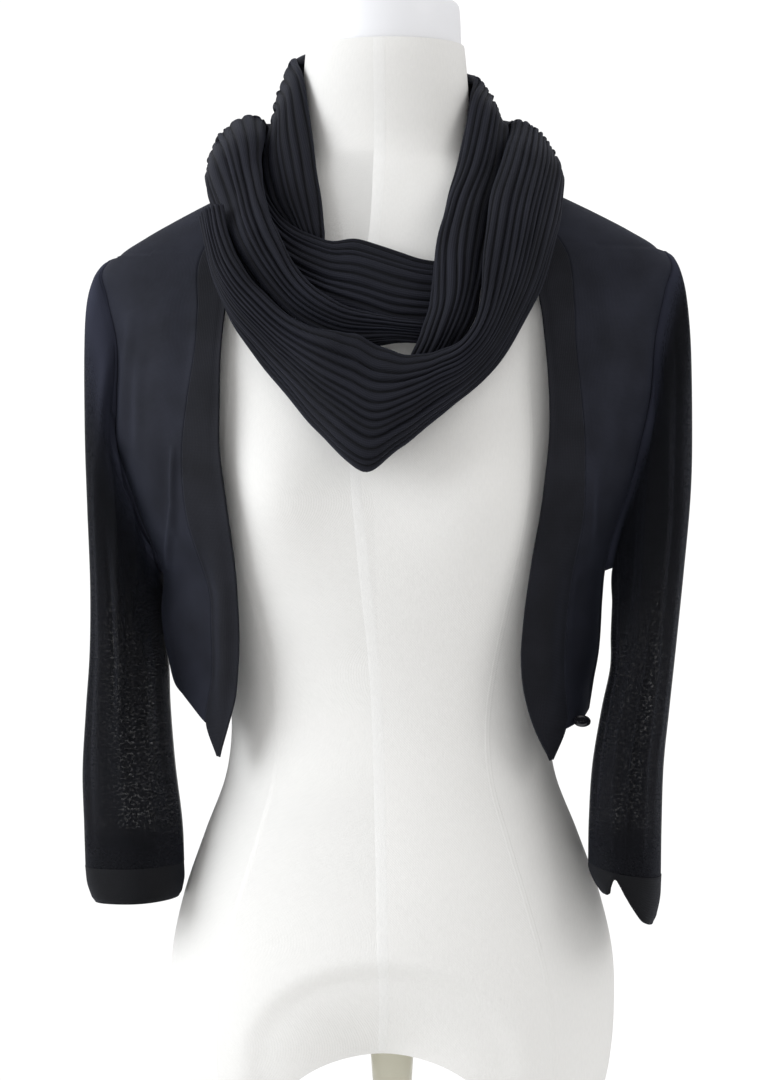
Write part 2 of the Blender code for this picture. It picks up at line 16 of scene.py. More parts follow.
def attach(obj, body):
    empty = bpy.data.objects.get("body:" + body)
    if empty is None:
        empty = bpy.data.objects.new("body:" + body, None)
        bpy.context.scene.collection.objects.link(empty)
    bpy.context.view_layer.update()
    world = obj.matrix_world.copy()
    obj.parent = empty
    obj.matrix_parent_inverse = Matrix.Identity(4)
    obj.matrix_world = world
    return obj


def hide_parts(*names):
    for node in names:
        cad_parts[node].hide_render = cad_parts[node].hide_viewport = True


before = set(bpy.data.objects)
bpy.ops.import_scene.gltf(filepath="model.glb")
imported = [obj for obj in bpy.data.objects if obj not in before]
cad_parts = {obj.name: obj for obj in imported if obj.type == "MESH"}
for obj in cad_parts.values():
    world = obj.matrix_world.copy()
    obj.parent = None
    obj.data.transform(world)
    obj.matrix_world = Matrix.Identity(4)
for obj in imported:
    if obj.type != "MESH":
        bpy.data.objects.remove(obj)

MM = 0.001                   # the tables below are in millimetres, Blender works in metres
LEFT, RIGHT = -1, 1          # the viewer's sides, as seen from the front
SIDE_NAMES = {LEFT: "left", RIGHT: "right"}
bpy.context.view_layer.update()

# %% [markdown]
# ## Reading a table as a smooth curve
# A dressmaker writes down a few measures and draws a fair line through them. `sample` does the same:
# a cubic through the rows of a table. A spline object would do it too, but a function can be asked
# for thousands of points at once, and every piece of the garment is drawn with it.

# %% A smooth curve through the rows of a table
def sample(table, key):
    """Values of a table at one or many keys, on a cubic through its rows."""
    rows = np.array(table, dtype=float)
    rows = rows[np.argsort(rows[:, 0])]
    keys, values = rows[:, 0], rows[:, 1:]
    slopes = np.gradient(values, keys, axis=0)
    key = np.asarray(key, dtype=float)
    i = np.clip(np.searchsorted(keys, key) - 1, 0, len(keys) - 2)
    step = (keys[i + 1] - keys[i])[..., None]
    t = np.clip((key - keys[i])[..., None] / step, 0.0, 1.0)
    return ((2 * t**3 - 3 * t**2 + 1) * values[i] + (t**3 - 2 * t**2 + t) * step * slopes[i]
            + (3 * t**2 - 2 * t**3) * values[i + 1] + (t**3 - t**2) * step * slopes[i + 1])


def through(shapes, count):
    """count shapes on a smooth run through a list of shapes with the same number of points."""
    table = [(k, *np.ravel(shape)) for k, shape in enumerate(shapes)]
    return sample(table, np.linspace(0, len(shapes) - 1, count)).reshape(count, *np.shape(shapes[0]))


# %% [markdown]
# ## The dress form, as level rings
# The form is a padded torso under tight linen. A level section of it is half an ellipse in front and
# half an ellipse behind, and the bust is a soft swelling on top. The cloth of the cardigan is drawn
# from these same rings, moved out by its ease, so it can never cut through the form.

# %% Rings of the form and the surface they give
# z, half width, depth in front of and behind the shoulder line
FORM_RINGS = [
    (170, 138, 62, 72), (176, 143, 72, 82), (190, 148, 82, 94), (217, 153, 91, 105),
    (247, 155, 96, 112), (281, 154, 98, 114), (319, 146, 96, 108), (365, 130, 88, 94),
    (405, 115, 82, 81), (440, 111, 80, 75), (480, 116, 84, 75), (520, 127, 93, 80),
    (560, 138, 102, 86), (600, 147, 107, 90), (640, 151, 106, 94), (680, 154, 99, 97),
    (707, 162, 90, 97), (725, 175, 83, 96), (742, 185, 76, 94), (757, 189, 70, 91),
    (766, 186, 67, 89), (778, 168, 63, 86), (790, 146, 60, 83), (802, 122, 57, 79),
    (813, 99, 54, 75), (823, 79, 51, 71), (832, 66, 48, 68), (843, 61, 46, 66),
    (862, 59, 46, 65), (888, 57.5, 48, 65), (906, 56, 48.5, 64.6), (911.6, 55.4, 48, 64.2),
]
BUST_HEIGHT, BUST_APART, BUST_FULL = 598, 76, 17      # level, half distance, projection
BUST_WIDE, BUST_TALL = 40, 46                         # spread of each side of the bust


def bust(x, z, facing):
    """How far the bust stands forward where the surface faces the front by facing, 0 to 1."""
    swell = sum(np.exp(-((x - side * BUST_APART) / BUST_WIDE) ** 2) for side in (LEFT, RIGHT))
    return BUST_FULL * swell * np.exp(-((z - BUST_HEIGHT) / BUST_TALL) ** 2) * np.maximum(facing, 0)


def form_surface(angle, z):
    """Points of the form; angle 0 faces the front and +90 degrees faces +X."""
    wide, front, back = np.moveaxis(sample(FORM_RINGS, z), -1, 0)
    x, facing = wide * np.sin(angle), np.cos(angle)
    y = np.where(facing > 0, -front * facing - bust(x, z, facing), -back * facing)
    return np.stack([x, y, z + 0 * x], axis=-1)


# %% [markdown]
# ## From a grid of points to a piece of cloth
# Every panel is a grid of points: rows run across the cloth and follow each other down it. The grid
# also gives each corner its place on the flat cloth in millimetres, kept as a UV map named `cloth`,
# and the knit is drawn on that map. Unwrapping by hand would do, but the grid already knows the answer.
# A Solidify modifier turns the sheet into a wall, as the real cloth has two sides.

# %% Grid meshes with a cloth map
def unit(vectors):
    return vectors / np.maximum(np.linalg.norm(vectors, axis=-1, keepdims=True), 1e-9)


def grid_normals(grid, closed=False):
    """A normal for each point of a grid of points."""
    if closed:
        across = np.roll(grid, -1, axis=1) - np.roll(grid, 1, axis=1)
    else:
        across = np.gradient(grid, axis=1)
    return unit(np.cross(across, np.gradient(grid, axis=0)))


def cloth_map(grid, closed=False):
    """Distance across and along the cloth at each point, and across once more at a closed seam."""
    wide = np.concatenate([grid, grid[:, :1]], axis=1) if closed else grid
    across = np.concatenate([np.zeros((len(grid), 1)),
                             np.cumsum(np.linalg.norm(np.diff(wide, axis=1), axis=2), axis=1)], axis=1)
    across = across - (across[:, -1:] / 2 if not closed else 0)
    along = np.concatenate([[0], np.cumsum(np.linalg.norm(np.diff(grid, axis=0), axis=2).mean(axis=1))])
    return across, np.repeat(along[:, None], across.shape[1], axis=1)


def quads(rows, columns, closed=False):
    """Corner numbers of a grid's quads, for the points and for the map with its seam column."""
    last = columns if closed else columns - 1
    r, c = np.meshgrid(np.arange(rows - 1), np.arange(last), indexing="ij")
    r, c = r.ravel(), c.ravel()
    points = np.stack([r * columns + c, r * columns + (c + 1) % columns,
                       (r + 1) * columns + (c + 1) % columns, (r + 1) * columns + c], axis=1)
    map_columns = columns + 1 if closed else columns
    places = np.stack([r * map_columns + c, r * map_columns + c + 1,
                       (r + 1) * map_columns + c + 1, (r + 1) * map_columns + c], axis=1)
    return points, places


def mapped_quads(grid, closed=False):
    """The quads of a grid, and the place on the cloth map of each of their corners."""
    across, along = cloth_map(grid, closed)
    faces, places = quads(*grid.shape[:2], closed)
    return faces, np.stack([across.ravel()[places], along.ravel()[places]], axis=-1)


def piece(name, points, faces, places=None, finish=None):
    """A smooth mesh object from points in millimetres, with its cloth map if there is one."""
    mesh = bpy.data.meshes.new(name)
    mesh.from_pydata((np.asarray(points) * MM).tolist(), [], [list(map(int, face)) for face in faces])
    if places is not None:
        layer = mesh.uv_layers.new(name="cloth")
        layer.data.foreach_set("uv", np.asarray(places, dtype=np.float32).ravel())
    mesh.shade_smooth()
    made = bpy.data.objects.new(name, mesh)
    bpy.context.scene.collection.objects.link(made)
    if finish:
        mesh.materials.append(finish)
    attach(made, "root")
    return made


def cloth_piece(name, grid, finish, wall, inside, closed=False):
    """A piece of cloth from its outer surface; the normals are turned away from the point inside."""
    faces, corners = mapped_quads(grid, closed)
    a, b, c = (grid.reshape(-1, 3)[k] for k in faces[len(faces) // 2][:3])
    if np.dot(np.cross(b - a, c - a), a - np.array(inside, dtype=float)) < 0:
        faces, corners = faces[:, ::-1], corners[:, ::-1]
    made = piece(name, grid.reshape(-1, 3), faces, corners, finish)
    solid = made.modifiers.new("wall", "SOLIDIFY")
    solid.thickness = wall * MM
    solid.offset = -1.0
    solid.use_even_offset = False
    print(name, f"{len(faces)} faces")
    return made


# %% [markdown]
# ## Creases are laid in one by one
# Hanging cloth has few creases and each has its own length, so they are placed one by one: a crease
# is a line on the cloth with a width and a height, and it dies away at both ends. A negative height
# is a trough. A noise texture would give folds everywhere, which reads as crumpled paper.

# %% Creases as lines on the cloth
def creases(u, v, lines, span=1.0):
    """Height of the creases at cloth places (u, v). A line is u0, v0, u1, v1, width, height.

    Where u is a share of the cloth's width, span is that width in millimetres.
    """
    height = np.zeros(np.broadcast(u, v).shape)
    for u0, v0, u1, v1, width, tall in lines:
        du, dv = (u1 - u0) * span, v1 - v0
        from_u, from_v = (u - u0) * span, v - v0
        t = (from_u * du + from_v * dv) / (du * du + dv * dv)
        off = np.hypot(from_u - t * du, from_v - t * dv)
        fade = np.clip(np.sin(np.pi * np.clip(t, 0, 1)), 0, 1) ** 0.6
        height += tall * fade * np.exp(-(off / width) ** 2)
    return height


def smooth_step(value, low, high):
    """0 below low, 1 above high, and a soft rise between; low may be the larger one."""
    t = np.clip((value - low) / (high - low), 0, 1)
    return t * t * (3 - 2 * t)


def paint(made, name, values):
    """Writes one number for each point of a piece, for its finish to read."""
    layer = made.data.attributes.new(name, "FLOAT", "POINT")
    layer.data.foreach_set("value", np.asarray(values, dtype=np.float32).ravel())


# %% [markdown]
# ## Finishes of knitted cloth
# Fine jersey is rows of small V-shaped loops. At arm's length they are seen as a soft texture, so they
# are bump and a slight change of colour, both worked out from the cloth map in millimetres. The colour
# is darker down between the loops and lighter on their tops, which is painted shade and a painted
# highlight. Sheen gives the bluish bloom that black yarn shows where light grazes it. The numbers that
# are the same all over sit on the shader's own sockets.

# %% Node helpers
def add(tree, kind, inputs=(), **settings):
    """A node with its settings, and each input either linked or set."""
    made = tree.nodes.new("ShaderNode" + kind)
    for name, value in settings.items():
        setattr(made, name, value)
    for socket, value in dict(inputs).items():
        if isinstance(value, bpy.types.NodeSocket):
            tree.links.new(value, made.inputs[socket])
        else:
            made.inputs[socket].default_value = value
    return made


def calc(tree, operation, *values):
    made = add(tree, "Math", dict(enumerate(values)), operation=operation)
    return made.outputs[0]


def finish(name, colour, roughness, **sockets):
    """A new material and its Principled shader."""
    made = bpy.data.materials.new(name)
    made.use_nodes = True
    shader = made.node_tree.nodes["Principled BSDF"]
    shader.inputs["Base Color"].default_value = (*colour, 1.0)
    shader.inputs["Roughness"].default_value = roughness
    for socket, value in sockets.items():
        shader.inputs[socket.replace("_", " ")].default_value = value
    return made, made.node_tree, shader


def dress(tree, shader, colour, bump):
    """Links a colour and a bump to a shader."""
    tree.links.new(colour, shader.inputs["Base Color"])
    tree.links.new(bump.outputs[0], shader.inputs["Normal"])


def cloth_place(tree):
    """The two numbers of the cloth map, across and along, in millimetres."""
    place = add(tree, "UVMap", uv_map="cloth").outputs[0]
    split = add(tree, "SeparateXYZ", {0: place})
    return split.outputs[0], split.outputs[1]


def stitch_height(tree, across, along, wale, course):
    """Height of a knit stitch: two slanted legs to a wale, one pair to a course."""
    leg = calc(tree, "ABSOLUTE", calc(tree, "SINE", calc(tree, "MULTIPLY", across, math.pi / wale)))
    rise = calc(tree, "MULTIPLY", along, math.tau / course)
    loop = calc(tree, "SINE", calc(tree, "ADD", rise, calc(tree, "MULTIPLY", leg, 2.4)))
    return calc(tree, "MULTIPLY", leg, calc(tree, "MULTIPLY_ADD", loop, 0.35, 0.65))


def mottled(tree, colour, amount, scale, detail=3.0):
    """A colour that varies by a share of itself in soft patches."""
    place = add(tree, "TexCoord").outputs["Object"]
    cloud = add(tree, "TexNoise", {"Vector": place, "Scale": scale, "Detail": detail}).outputs[0]
    share = add(tree, "MapRange", {0: cloud, 1: 0.3, 2: 0.7, 3: 1 - amount, 4: 1 + amount}).outputs[0]
    tint = add(tree, "VectorMath", {0: tuple(colour), "Scale": share}, operation="SCALE")
    return tint.outputs[0]


# %% [markdown]
# ## The jersey of the body, the bands and the cuffs
# One recipe serves three cloths. The fronts and the back are the finest, the bands are a closer and
# darker knit, and the cuffs are the sleeve's jersey turned up double. Soft patches break up the
# colour, since a flat near-black would look like paint.

# %% Jersey of the body, the bands and the cuffs
BLOOM = (0.6, 0.68, 1.0, 1.0)            # the bluish tint of light that grazes black yarn


def jersey(name, colour, wale=1.05, course=0.85, depth=0.14, sheen=0.06):
    made, tree, shader = finish(name, colour, 0.8, Specular_IOR_Level=0.14, Sheen_Weight=sheen,
                                Sheen_Roughness=0.4, Sheen_Tint=BLOOM)
    across, along = cloth_place(tree)
    height = stitch_height(tree, across, along, wale, course)
    tone = mottled(tree, colour, 0.3, 30.0, 9.0)
    # the stitch's hollows are painted darker and its tops lighter: painted shade and a painted highlight
    stitch_shading = add(tree, "MapRange", {0: height, 1: 0.0, 2: 1.0, 3: 0.66, 4: 1.2}).outputs[0]
    shade = add(tree, "VectorMath", {0: tone, "Scale": stitch_shading}, operation="SCALE").outputs[0]
    bump = add(tree, "Bump", {"Height": height, "Distance": depth * MM, "Strength": 1.0})
    dress(tree, shader, shade, bump)
    return made


NAVY = (0.0125, 0.0135, 0.0205)
KNIT = jersey("fine navy jersey", NAVY)
BAND_KNIT = jersey("close navy jersey of the bands", (0.0088, 0.0091, 0.0125), 1.3, 1.0, 0.18, 0.05)
CUFF_KNIT = jersey("doubled jersey of the cuffs", (0.0040, 0.0042, 0.0055), 1.25, 1.0, 0.14, 0.03)
print("jerseys:", [cloth.name for cloth in (KNIT, BAND_KNIT, CUFF_KNIT)])

# %% [markdown]
# ## The see-through jersey of the sleeves
# The sleeves are knitted from a thinner yarn, so tiny gaps between the loops let the light behind
# them through. Real gaps of this size would need millions of faces, so the shader's alpha opens
# them. How far they open is painted on the mesh as numbers: the first says where the yarn is the thin
# one, `between` how open the cloth is all over, and `pulled` where it is stretched into a streak of
# light dots. The first also turns the colour from the sleeve head's, which is raised above the body's
# navy as painted sheen, to a much darker thin colour, which is the thin yarn's own tone and painted
# shade. Light has to pass both walls of the tube, so the lower back wall is the more open one.
# Painting them one by one puts the streaks where the photo has them, which a noise texture can't do.

# %% Sheer jersey
def painted(tree, name):
    return add(tree, "Attribute", attribute_name=name).outputs["Fac"]


def sheer_jersey(name, colour, thin_colour, wale=1.25, course=1.0):
    made, tree, shader = finish(name, colour, 0.85, Specular_IOR_Level=0.08, Sheen_Weight=0.03,
                                Sheen_Roughness=0.45, Sheen_Tint=BLOOM)
    across, along = cloth_place(tree)
    height = stitch_height(tree, across, along, wale, course)
    place = add(tree, "CombineXYZ", {0: across, 1: along}).outputs[0]
    fine = add(tree, "Mapping", {"Vector": place, "Scale": (0.42, 0.55, 1.0)}).outputs[0]
    cloud = add(tree, "TexNoise", {"Vector": fine, "Scale": 1.0, "Detail": 1.0}).outputs[0]
    dots = add(tree, "MapRange", {0: cloud, 1: 0.47, 2: 0.64, 3: 0.0, 4: DOT_OPEN}).outputs[0]
    gap = add(tree, "MapRange", {0: height, 1: 0.05, 2: 0.5, 3: 1.25, 4: 0.75}).outputs[0]
    between = calc(tree, "MULTIPLY", gap, painted(tree, "between"))
    opened = calc(tree, "MULTIPLY_ADD", dots, painted(tree, "pulled"), between)
    bump = add(tree, "Bump", {"Height": height, "Distance": 0.14 * MM, "Strength": 1.0})
    # the head's colour is raised above the body's navy as painted sheen; the thin colour below is darker, the
    # thin yarn's tone together with painted shade
    thick_and_sheen = mottled(tree, colour, 0.15, 16.0)
    thin = mottled(tree, thin_colour, 0.15, 16.0)
    tint = add(tree, "MixRGB", {0: painted(tree, "sheer_and_shade"), 1: thick_and_sheen, 2: thin}).outputs[0]
    tree.links.new(calc(tree, "SUBTRACT", 1.0, opened), shader.inputs["Alpha"])
    dress(tree, shader, tint, bump)
    return made


DOT_OPEN = 0.5               # how far the cloth opens in a dot of a pulled streak
# the first colour, well above the body's navy, is painted sheen on the sleeve head; the second is the thin
# yarn's darker tone with painted shade
SHEER = sheer_jersey("thin navy jersey", (0.0290, 0.0312, 0.0470), (0.0036, 0.0038, 0.0052))
print("sleeves:", SHEER.name)

# %% [markdown]
# ## The ribbed knit of the collar
# The ribs themselves are modelled, because their grooves cast shadows. What is left for the shader is
# the row of loops along each rib, painted shade down in the grooves and a painted highlight on the
# crests. The number `crest`, painted on the mesh as the ribs are made, is 0 in a groove and 1 on a rib,
# so the two always agree.

# %% Rib knit
def rib_knit(name, colour, course=1.15):
    made, tree, shader = finish(name, colour, 0.72, Specular_IOR_Level=0.12, Sheen_Weight=0.05,
                                Sheen_Roughness=0.36, Sheen_Tint=BLOOM)
    across, along = cloth_place(tree)
    height = stitch_height(tree, across, along, 1.4, course)
    tone = mottled(tree, colour, 0.2, 24.0)
    # as in the jersey: painted shade in the stitch hollows and a painted highlight on the loop tops
    stitch_shading = add(tree, "MapRange", {0: height, 1: 0.0, 2: 1.0, 3: 0.55, 4: 1.35}).outputs[0]
    # painted shade in the rib grooves and a painted highlight on the crests, read from the crest number
    rise = add(tree, "MapRange", {0: painted(tree, "crest"), 1: 0.0, 2: 1.0, 3: 0.15, 4: 1.6}).outputs[0]
    shade = add(tree, "VectorMath", {0: tone, "Scale": calc(tree, "MULTIPLY", stitch_shading, rise)},
                operation="SCALE").outputs[0]
    bump = add(tree, "Bump", {"Height": height, "Distance": 0.18 * MM, "Strength": 1.0})
    dress(tree, shader, shade, bump)
    return made


RIB = rib_knit("ribbed navy knit", (0.0072, 0.0076, 0.0115))
print("collar:", RIB.name)

# %% [markdown]
# ## The linen of the form
# The form's cover is plain-woven linen: threads over and under in both directions, here as two
# crossed waves, with a stretched noise for the slubs. A picture of cloth would repeat, and waves
# worked out from the cloth map follow the skin without a seam.

# %% Linen
def linen(name, colour, thread=1.1):
    made, tree, shader = finish(name, colour, 0.9, Specular_IOR_Level=0.2, Sheen_Weight=0.1,
                                Sheen_Roughness=0.6)
    across, along = cloth_place(tree)
    warp = calc(tree, "SINE", calc(tree, "MULTIPLY", across, math.tau / thread))
    weft = calc(tree, "SINE", calc(tree, "MULTIPLY", along, math.tau / thread))
    weave = calc(tree, "MULTIPLY", warp, weft)
    place = add(tree, "CombineXYZ", {0: across, 1: along}).outputs[0]
    stretched = add(tree, "Mapping", {"Vector": place, "Scale": (0.8, 0.2, 1.0)}).outputs[0]
    slub = add(tree, "TexNoise", {"Vector": stretched, "Scale": 1.0, "Detail": 3.0}).outputs[0]
    height = calc(tree, "ADD", weave, slub)
    tone = add(tree, "MapRange", {0: slub, 1: 0.3, 2: 0.7, 3: 0.98, 4: 1.015}).outputs[0]
    shade = add(tree, "VectorMath", {0: mottled(tree, colour, 0.012, 6.0), "Scale": tone},
                operation="SCALE").outputs[0]
    bump = add(tree, "Bump", {"Height": height, "Distance": 0.09 * MM, "Strength": 0.8})
    dress(tree, shader, shade, bump)
    return made


LINEN = linen("off-white linen", (0.735, 0.725, 0.705))
TAPE = linen("white seam tape", (0.765, 0.757, 0.74), 0.8)
print("form:", LINEN.name, "and", TAPE.name)

# %% [markdown]
# ## Enamel and plastic
# The stand is cream enamel on steel, and the cap and the button are plastic. None of them has a
# weave, so one recipe gives them a broad change in roughness and a faint ripple in the surface,
# without which they would look like nothing in particular.

# %% Enamel and plastic
def hard_finish(name, colour, roughness, ripple, coat=0.0):
    made, tree, shader = finish(name, colour, roughness, Coat_Weight=coat, Coat_Roughness=0.15)
    place = add(tree, "TexCoord").outputs["Object"]
    fine = add(tree, "TexNoise", {"Vector": place, "Scale": 900.0, "Detail": 2.0}).outputs[0]
    broad = add(tree, "TexNoise", {"Vector": place, "Scale": 40.0, "Detail": 2.0}).outputs[0]
    rough = add(tree, "MapRange", {0: broad, 1: 0.3, 2: 0.7, 3: roughness * 0.85, 4: roughness * 1.2})
    bump = add(tree, "Bump", {"Height": fine, "Distance": ripple * MM, "Strength": 0.5})
    tree.links.new(rough.outputs[0], shader.inputs["Roughness"])
    dress(tree, shader, mottled(tree, colour, 0.03, 9.0), bump)
    return made


CAP = hard_finish("white cap plastic", (0.74, 0.74, 0.76), 0.42, 0.05)
ENAMEL = hard_finish("cream enamel", (0.52, 0.5, 0.4), 0.35, 0.08, coat=0.4)
BUTTON = hard_finish("near-black button", (0.011, 0.011, 0.014), 0.22, 0.02, coat=0.6)
print("hard pieces:", [cover.name for cover in (CAP, ENAMEL, BUTTON)])

# %% [markdown]
# ## The form's torso
# One closed skin through many rings, with the arch between the thigh stubs cut by a Boolean, as a
# joiner would saw it. The lower belly draws in between the thighs, which is the faint arched shadow at
# the bottom of the form.

# %% Torso
ARCH_TOP, ARCH_SPRING, ARCH_WIDE = 220, 168, 76
FORM_ROWS, FORM_SIDES = 230, 168
HOLLOW_STEP, HOLLOW_BOWL = 5, 26         # the hollow over the arch: depth of its rim, and of its bowl
HOLLOW_TOP, HOLLOW_SPRING, HOLLOW_WIDE = 286, 215, 97


def thigh_hollow(x, z):
    """How far the front draws in under an arch between the thighs."""
    rise = np.maximum(z - HOLLOW_SPRING, 0) / (HOLLOW_TOP - HOLLOW_SPRING)
    out = np.hypot(x / HOLLOW_WIDE, rise)
    return HOLLOW_STEP * smooth_step(out, 1.03, 0.8) + HOLLOW_BOWL * smooth_step(out, 1.0, -0.3)


def skin_surface(angle, z):
    """Points of the form, with the hollow between the thighs drawn in."""
    points = form_surface(angle, z)
    points[..., 1] += thigh_hollow(points[..., 0], points[..., 2]) * np.clip(np.cos(angle), 0, 1)
    return points


heights = np.linspace(FORM_RINGS[0][0], FORM_RINGS[-1][0], FORM_ROWS)
angles = np.linspace(0, math.tau, FORM_SIDES, endpoint=False)
skin = skin_surface(angles[None, :], heights[:, None])
faces, corners = mapped_quads(skin, closed=True)
bottom = list(range(FORM_SIDES - 1, -1, -1))
top = [(FORM_ROWS - 1) * FORM_SIDES + k for k in range(FORM_SIDES)]
flat_places = [skin.reshape(-1, 3)[k][:2] for k in bottom + top]
torso = piece("dress_form", skin.reshape(-1, 3), [*faces.tolist(), bottom, top],
              np.concatenate([corners.reshape(-1, 2), flat_places]), LINEN)
bpy.ops.mesh.primitive_cylinder_add(vertices=96, radius=ARCH_WIDE * MM, depth=0.4,
                                    location=(0, 0, ARCH_SPRING * MM), rotation=(math.pi / 2, 0, 0))
saw = bpy.context.object
saw.scale.y = (ARCH_TOP - ARCH_SPRING) / ARCH_WIDE
cut = torso.modifiers.new("arch", "BOOLEAN")
cut.operation = "DIFFERENCE"
cut.object = saw
bpy.context.view_layer.objects.active = torso
bpy.ops.object.modifier_apply(modifier="arch")
bpy.data.objects.remove(saw)
torso.data.set_sharp_from_angle(angle=math.radians(40))
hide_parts("form_torso")
print("torso", len(torso.data.polygons), "faces")

# %% [markdown]
# ## Seams of the form
# The linen is cut in gores, and each seam shows as a narrow ridge. The one down the front is covered
# with a white tape. A seam is a strip of its own that follows the skin a fraction of a millimetre
# above it, which keeps its edges crisp at any resolution.

# %% Seam strips on the form
SEAM_WIDE, SEAM_LIFT, SEAM_GROOVE = 4.5, 0.12, 0.1
TAPE_WIDE, TAPE_LIFT = 8, 0.12
STRIP_SUNK, STRIP_ROWS, SIDE_STEP = 0.06, 260, 0.01      # its edges lie just under the skin
ABOVE_ARCH, STUB_END, NECK_END = ARCH_TOP + 2, 176, 911


def skin_strip(name, line, width, lift, finish_used, groove=0.0):
    """A strip on the form's skin along (z, angle in degrees) points, with a groove down its middle."""
    z = np.linspace(line[0][0], line[-1][0], STRIP_ROWS)
    angle = np.radians(sample(line, z)[:, 0])
    middle = skin_surface(angle, z)
    sideways = unit(skin_surface(angle + SIDE_STEP, z) - middle)
    out = unit(np.cross(sideways, np.gradient(middle, axis=0)))
    profile = [(-0.5, -STRIP_SUNK), (-0.36, 0.7 * lift), (-0.14, lift), (0, lift - groove), (0.14, lift),
               (0.36, 0.7 * lift), (0.5, -STRIP_SUNK)]
    grid = np.stack([middle + sideways * s * width + out * up for s, up in profile], axis=1)
    made = piece(name, grid.reshape(-1, 3), *mapped_quads(grid), finish_used)
    print(name, f"{z[-1] - z[0]:.0f} mm high")


# height, degrees round from the front
FRONT_TAPE = [(ABOVE_ARCH, -0.7), (240, 0.4), (300, 1.0), (390, 0.2), (480, -1.2), (560, -3.6), (620, -4.8),
              (700, -3.0), (790, -0.6), (850, 0.0), (NECK_END, 0.0)]
PRINCESS = [(STUB_END, 52), (250, 47), (330, 42), (420, 40), (500, 42), (598, 44), (680, 41), (740, 34),
            (790, 24)]
SIDE_SEAM = [(STUB_END, 90), (NECK_END, 90)]
BACK_SEAM = [(ABOVE_ARCH, 180), (NECK_END, 180)]
BACK_GORE = [(z, 180 - turn) for z, turn in PRINCESS]
PAIRED_SEAMS = {"princess": PRINCESS, "side": SIDE_SEAM, "back_gore": BACK_GORE}

skin_strip("form_front_tape", FRONT_TAPE, TAPE_WIDE, TAPE_LIFT, TAPE)
for side in (LEFT, RIGHT):
    for seam, line in PAIRED_SEAMS.items():
        name = f"form_{seam}_seam_{SIDE_NAMES[side]}"
        turned_line = [(z, side * turn) for z, turn in line]
        skin_strip(name, turned_line, SEAM_WIDE, SEAM_LIFT, LINEN, SEAM_GROOVE)
skin_strip("form_back_seam", BACK_SEAM, SEAM_WIDE, SEAM_LIFT, LINEN, SEAM_GROOVE)

# %% [markdown]
# ## The cap, the pole and the base
# These are turned pieces, so each is a profile spun about an axis. A Screw modifier would do it, but
# a small function that spins a profile lets the profile have its edges rounded with as many points
# as a lathe would leave.

# %% Turned pieces
def spun(profile, sides, centre_y=0.0):
    """Points and faces of a closed turned shape, from (radius, z) points from its top to its bottom."""
    profile = np.array(profile, dtype=float)
    spin = np.linspace(0, math.tau, sides, endpoint=False)
    rings = [np.stack([r * np.cos(spin), r * np.sin(spin) + centre_y, np.full(sides, z)], axis=1)
             for r, z in profile[1:-1]]
    ends = [[0, centre_y, profile[0, 1]], [0, centre_y, profile[-1, 1]]]
    points = np.concatenate([*rings, ends])
    top_point, low_point = len(points) - 2, len(points) - 1
    low_ring = (len(rings) - 1) * sides
    faces = [face[::-1] for face in quads(len(rings), sides, closed=True)[0].tolist()]
    faces += [[k, (k + 1) % sides, top_point] for k in range(sides)]
    faces += [[low_ring + (k + 1) % sides, low_ring + k, low_point] for k in range(sides)]
    return points, faces


def turned(name, profile, finish_used, node, sides=96, centre_y=0.0):
    """A turned piece of the stand or the cap, with its sharp edges kept."""
    points, faces = spun(profile, sides, centre_y)
    made = piece(name, points, faces, None, finish_used)
    made.data.set_sharp_from_angle(angle=math.radians(35))
    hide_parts(node)
    print(name, f"{len(faces)} faces")


NECK_TOP, NECK_CENTRE_Y = 912, 8.5
COLLAR_LOW, COLLAR_TOP, BASE_TOP = 168, ARCH_TOP - 1.6, 22
POLE_TOP = COLLAR_LOW - 0.3
# radius, height
CAP_PROFILE = [(0, 946), (20, 945.9), (38, 945.6), (45, 945), (48.6, 944), (50.6, 942.6), (51.6, 941),
               (52, 938), (52.4, 930), (52.8, 914), (52.6, 912.8), (52.2, NECK_TOP), (0, NECK_TOP)]
POLE_COLLAR_PROFILE = [(0, COLLAR_TOP), (14.5, COLLAR_TOP), (15.2, COLLAR_TOP - 0.3), (15.5, COLLAR_TOP - 1),
                       (15.5, COLLAR_TOP - 5), (15.2, COLLAR_TOP - 6), (12.4, COLLAR_LOW + 1),
                       (12, COLLAR_LOW), (0, COLLAR_LOW)]
POLE_PROFILE = [(0, POLE_TOP), (10.6, POLE_TOP), (11, POLE_TOP - 0.5), (11, BASE_TOP + 1),
                (10.8, BASE_TOP + 0.3), (0, BASE_TOP + 0.3)]
BASE_PROFILE = [(0, BASE_TOP), (22, BASE_TOP), (23.6, 21.6), (25, 20.8), (32, 18.6), (40, 17), (60, 14.8),
                (80, 13), (100, 11.4), (120, 9.6), (132, 8.7), (137, 8), (139.2, 6.8), (140, 5), (140, 0.6),
                (139.4, 0), (0, 0)]

turned("form_neck_cap", CAP_PROFILE, CAP, "neck_cap", centre_y=NECK_CENTRE_Y)
turned("form_pole_collar", POLE_COLLAR_PROFILE, ENAMEL, "pole_collar")
turned("form_pole", POLE_PROFILE, ENAMEL, "pole")
turned("form_base", BASE_PROFILE, ENAMEL, "stand_base", sides=160)

# %% [markdown]
# ## How the body of the cardigan lies on the form
# The cloth stands off the form by its ease: almost none over the shoulders, and 20 mm and more at
# the hem, where it swings free. `cloth_surface` gives a point of the outer side of the body from its
# distance to the centre and its height, and the panels and bands are all cut from that one surface.

# %% The cardigan's body surface
CLEARANCE, CLOTH = 0.6, 1.5              # air between the form and the cloth, and the cloth's wall
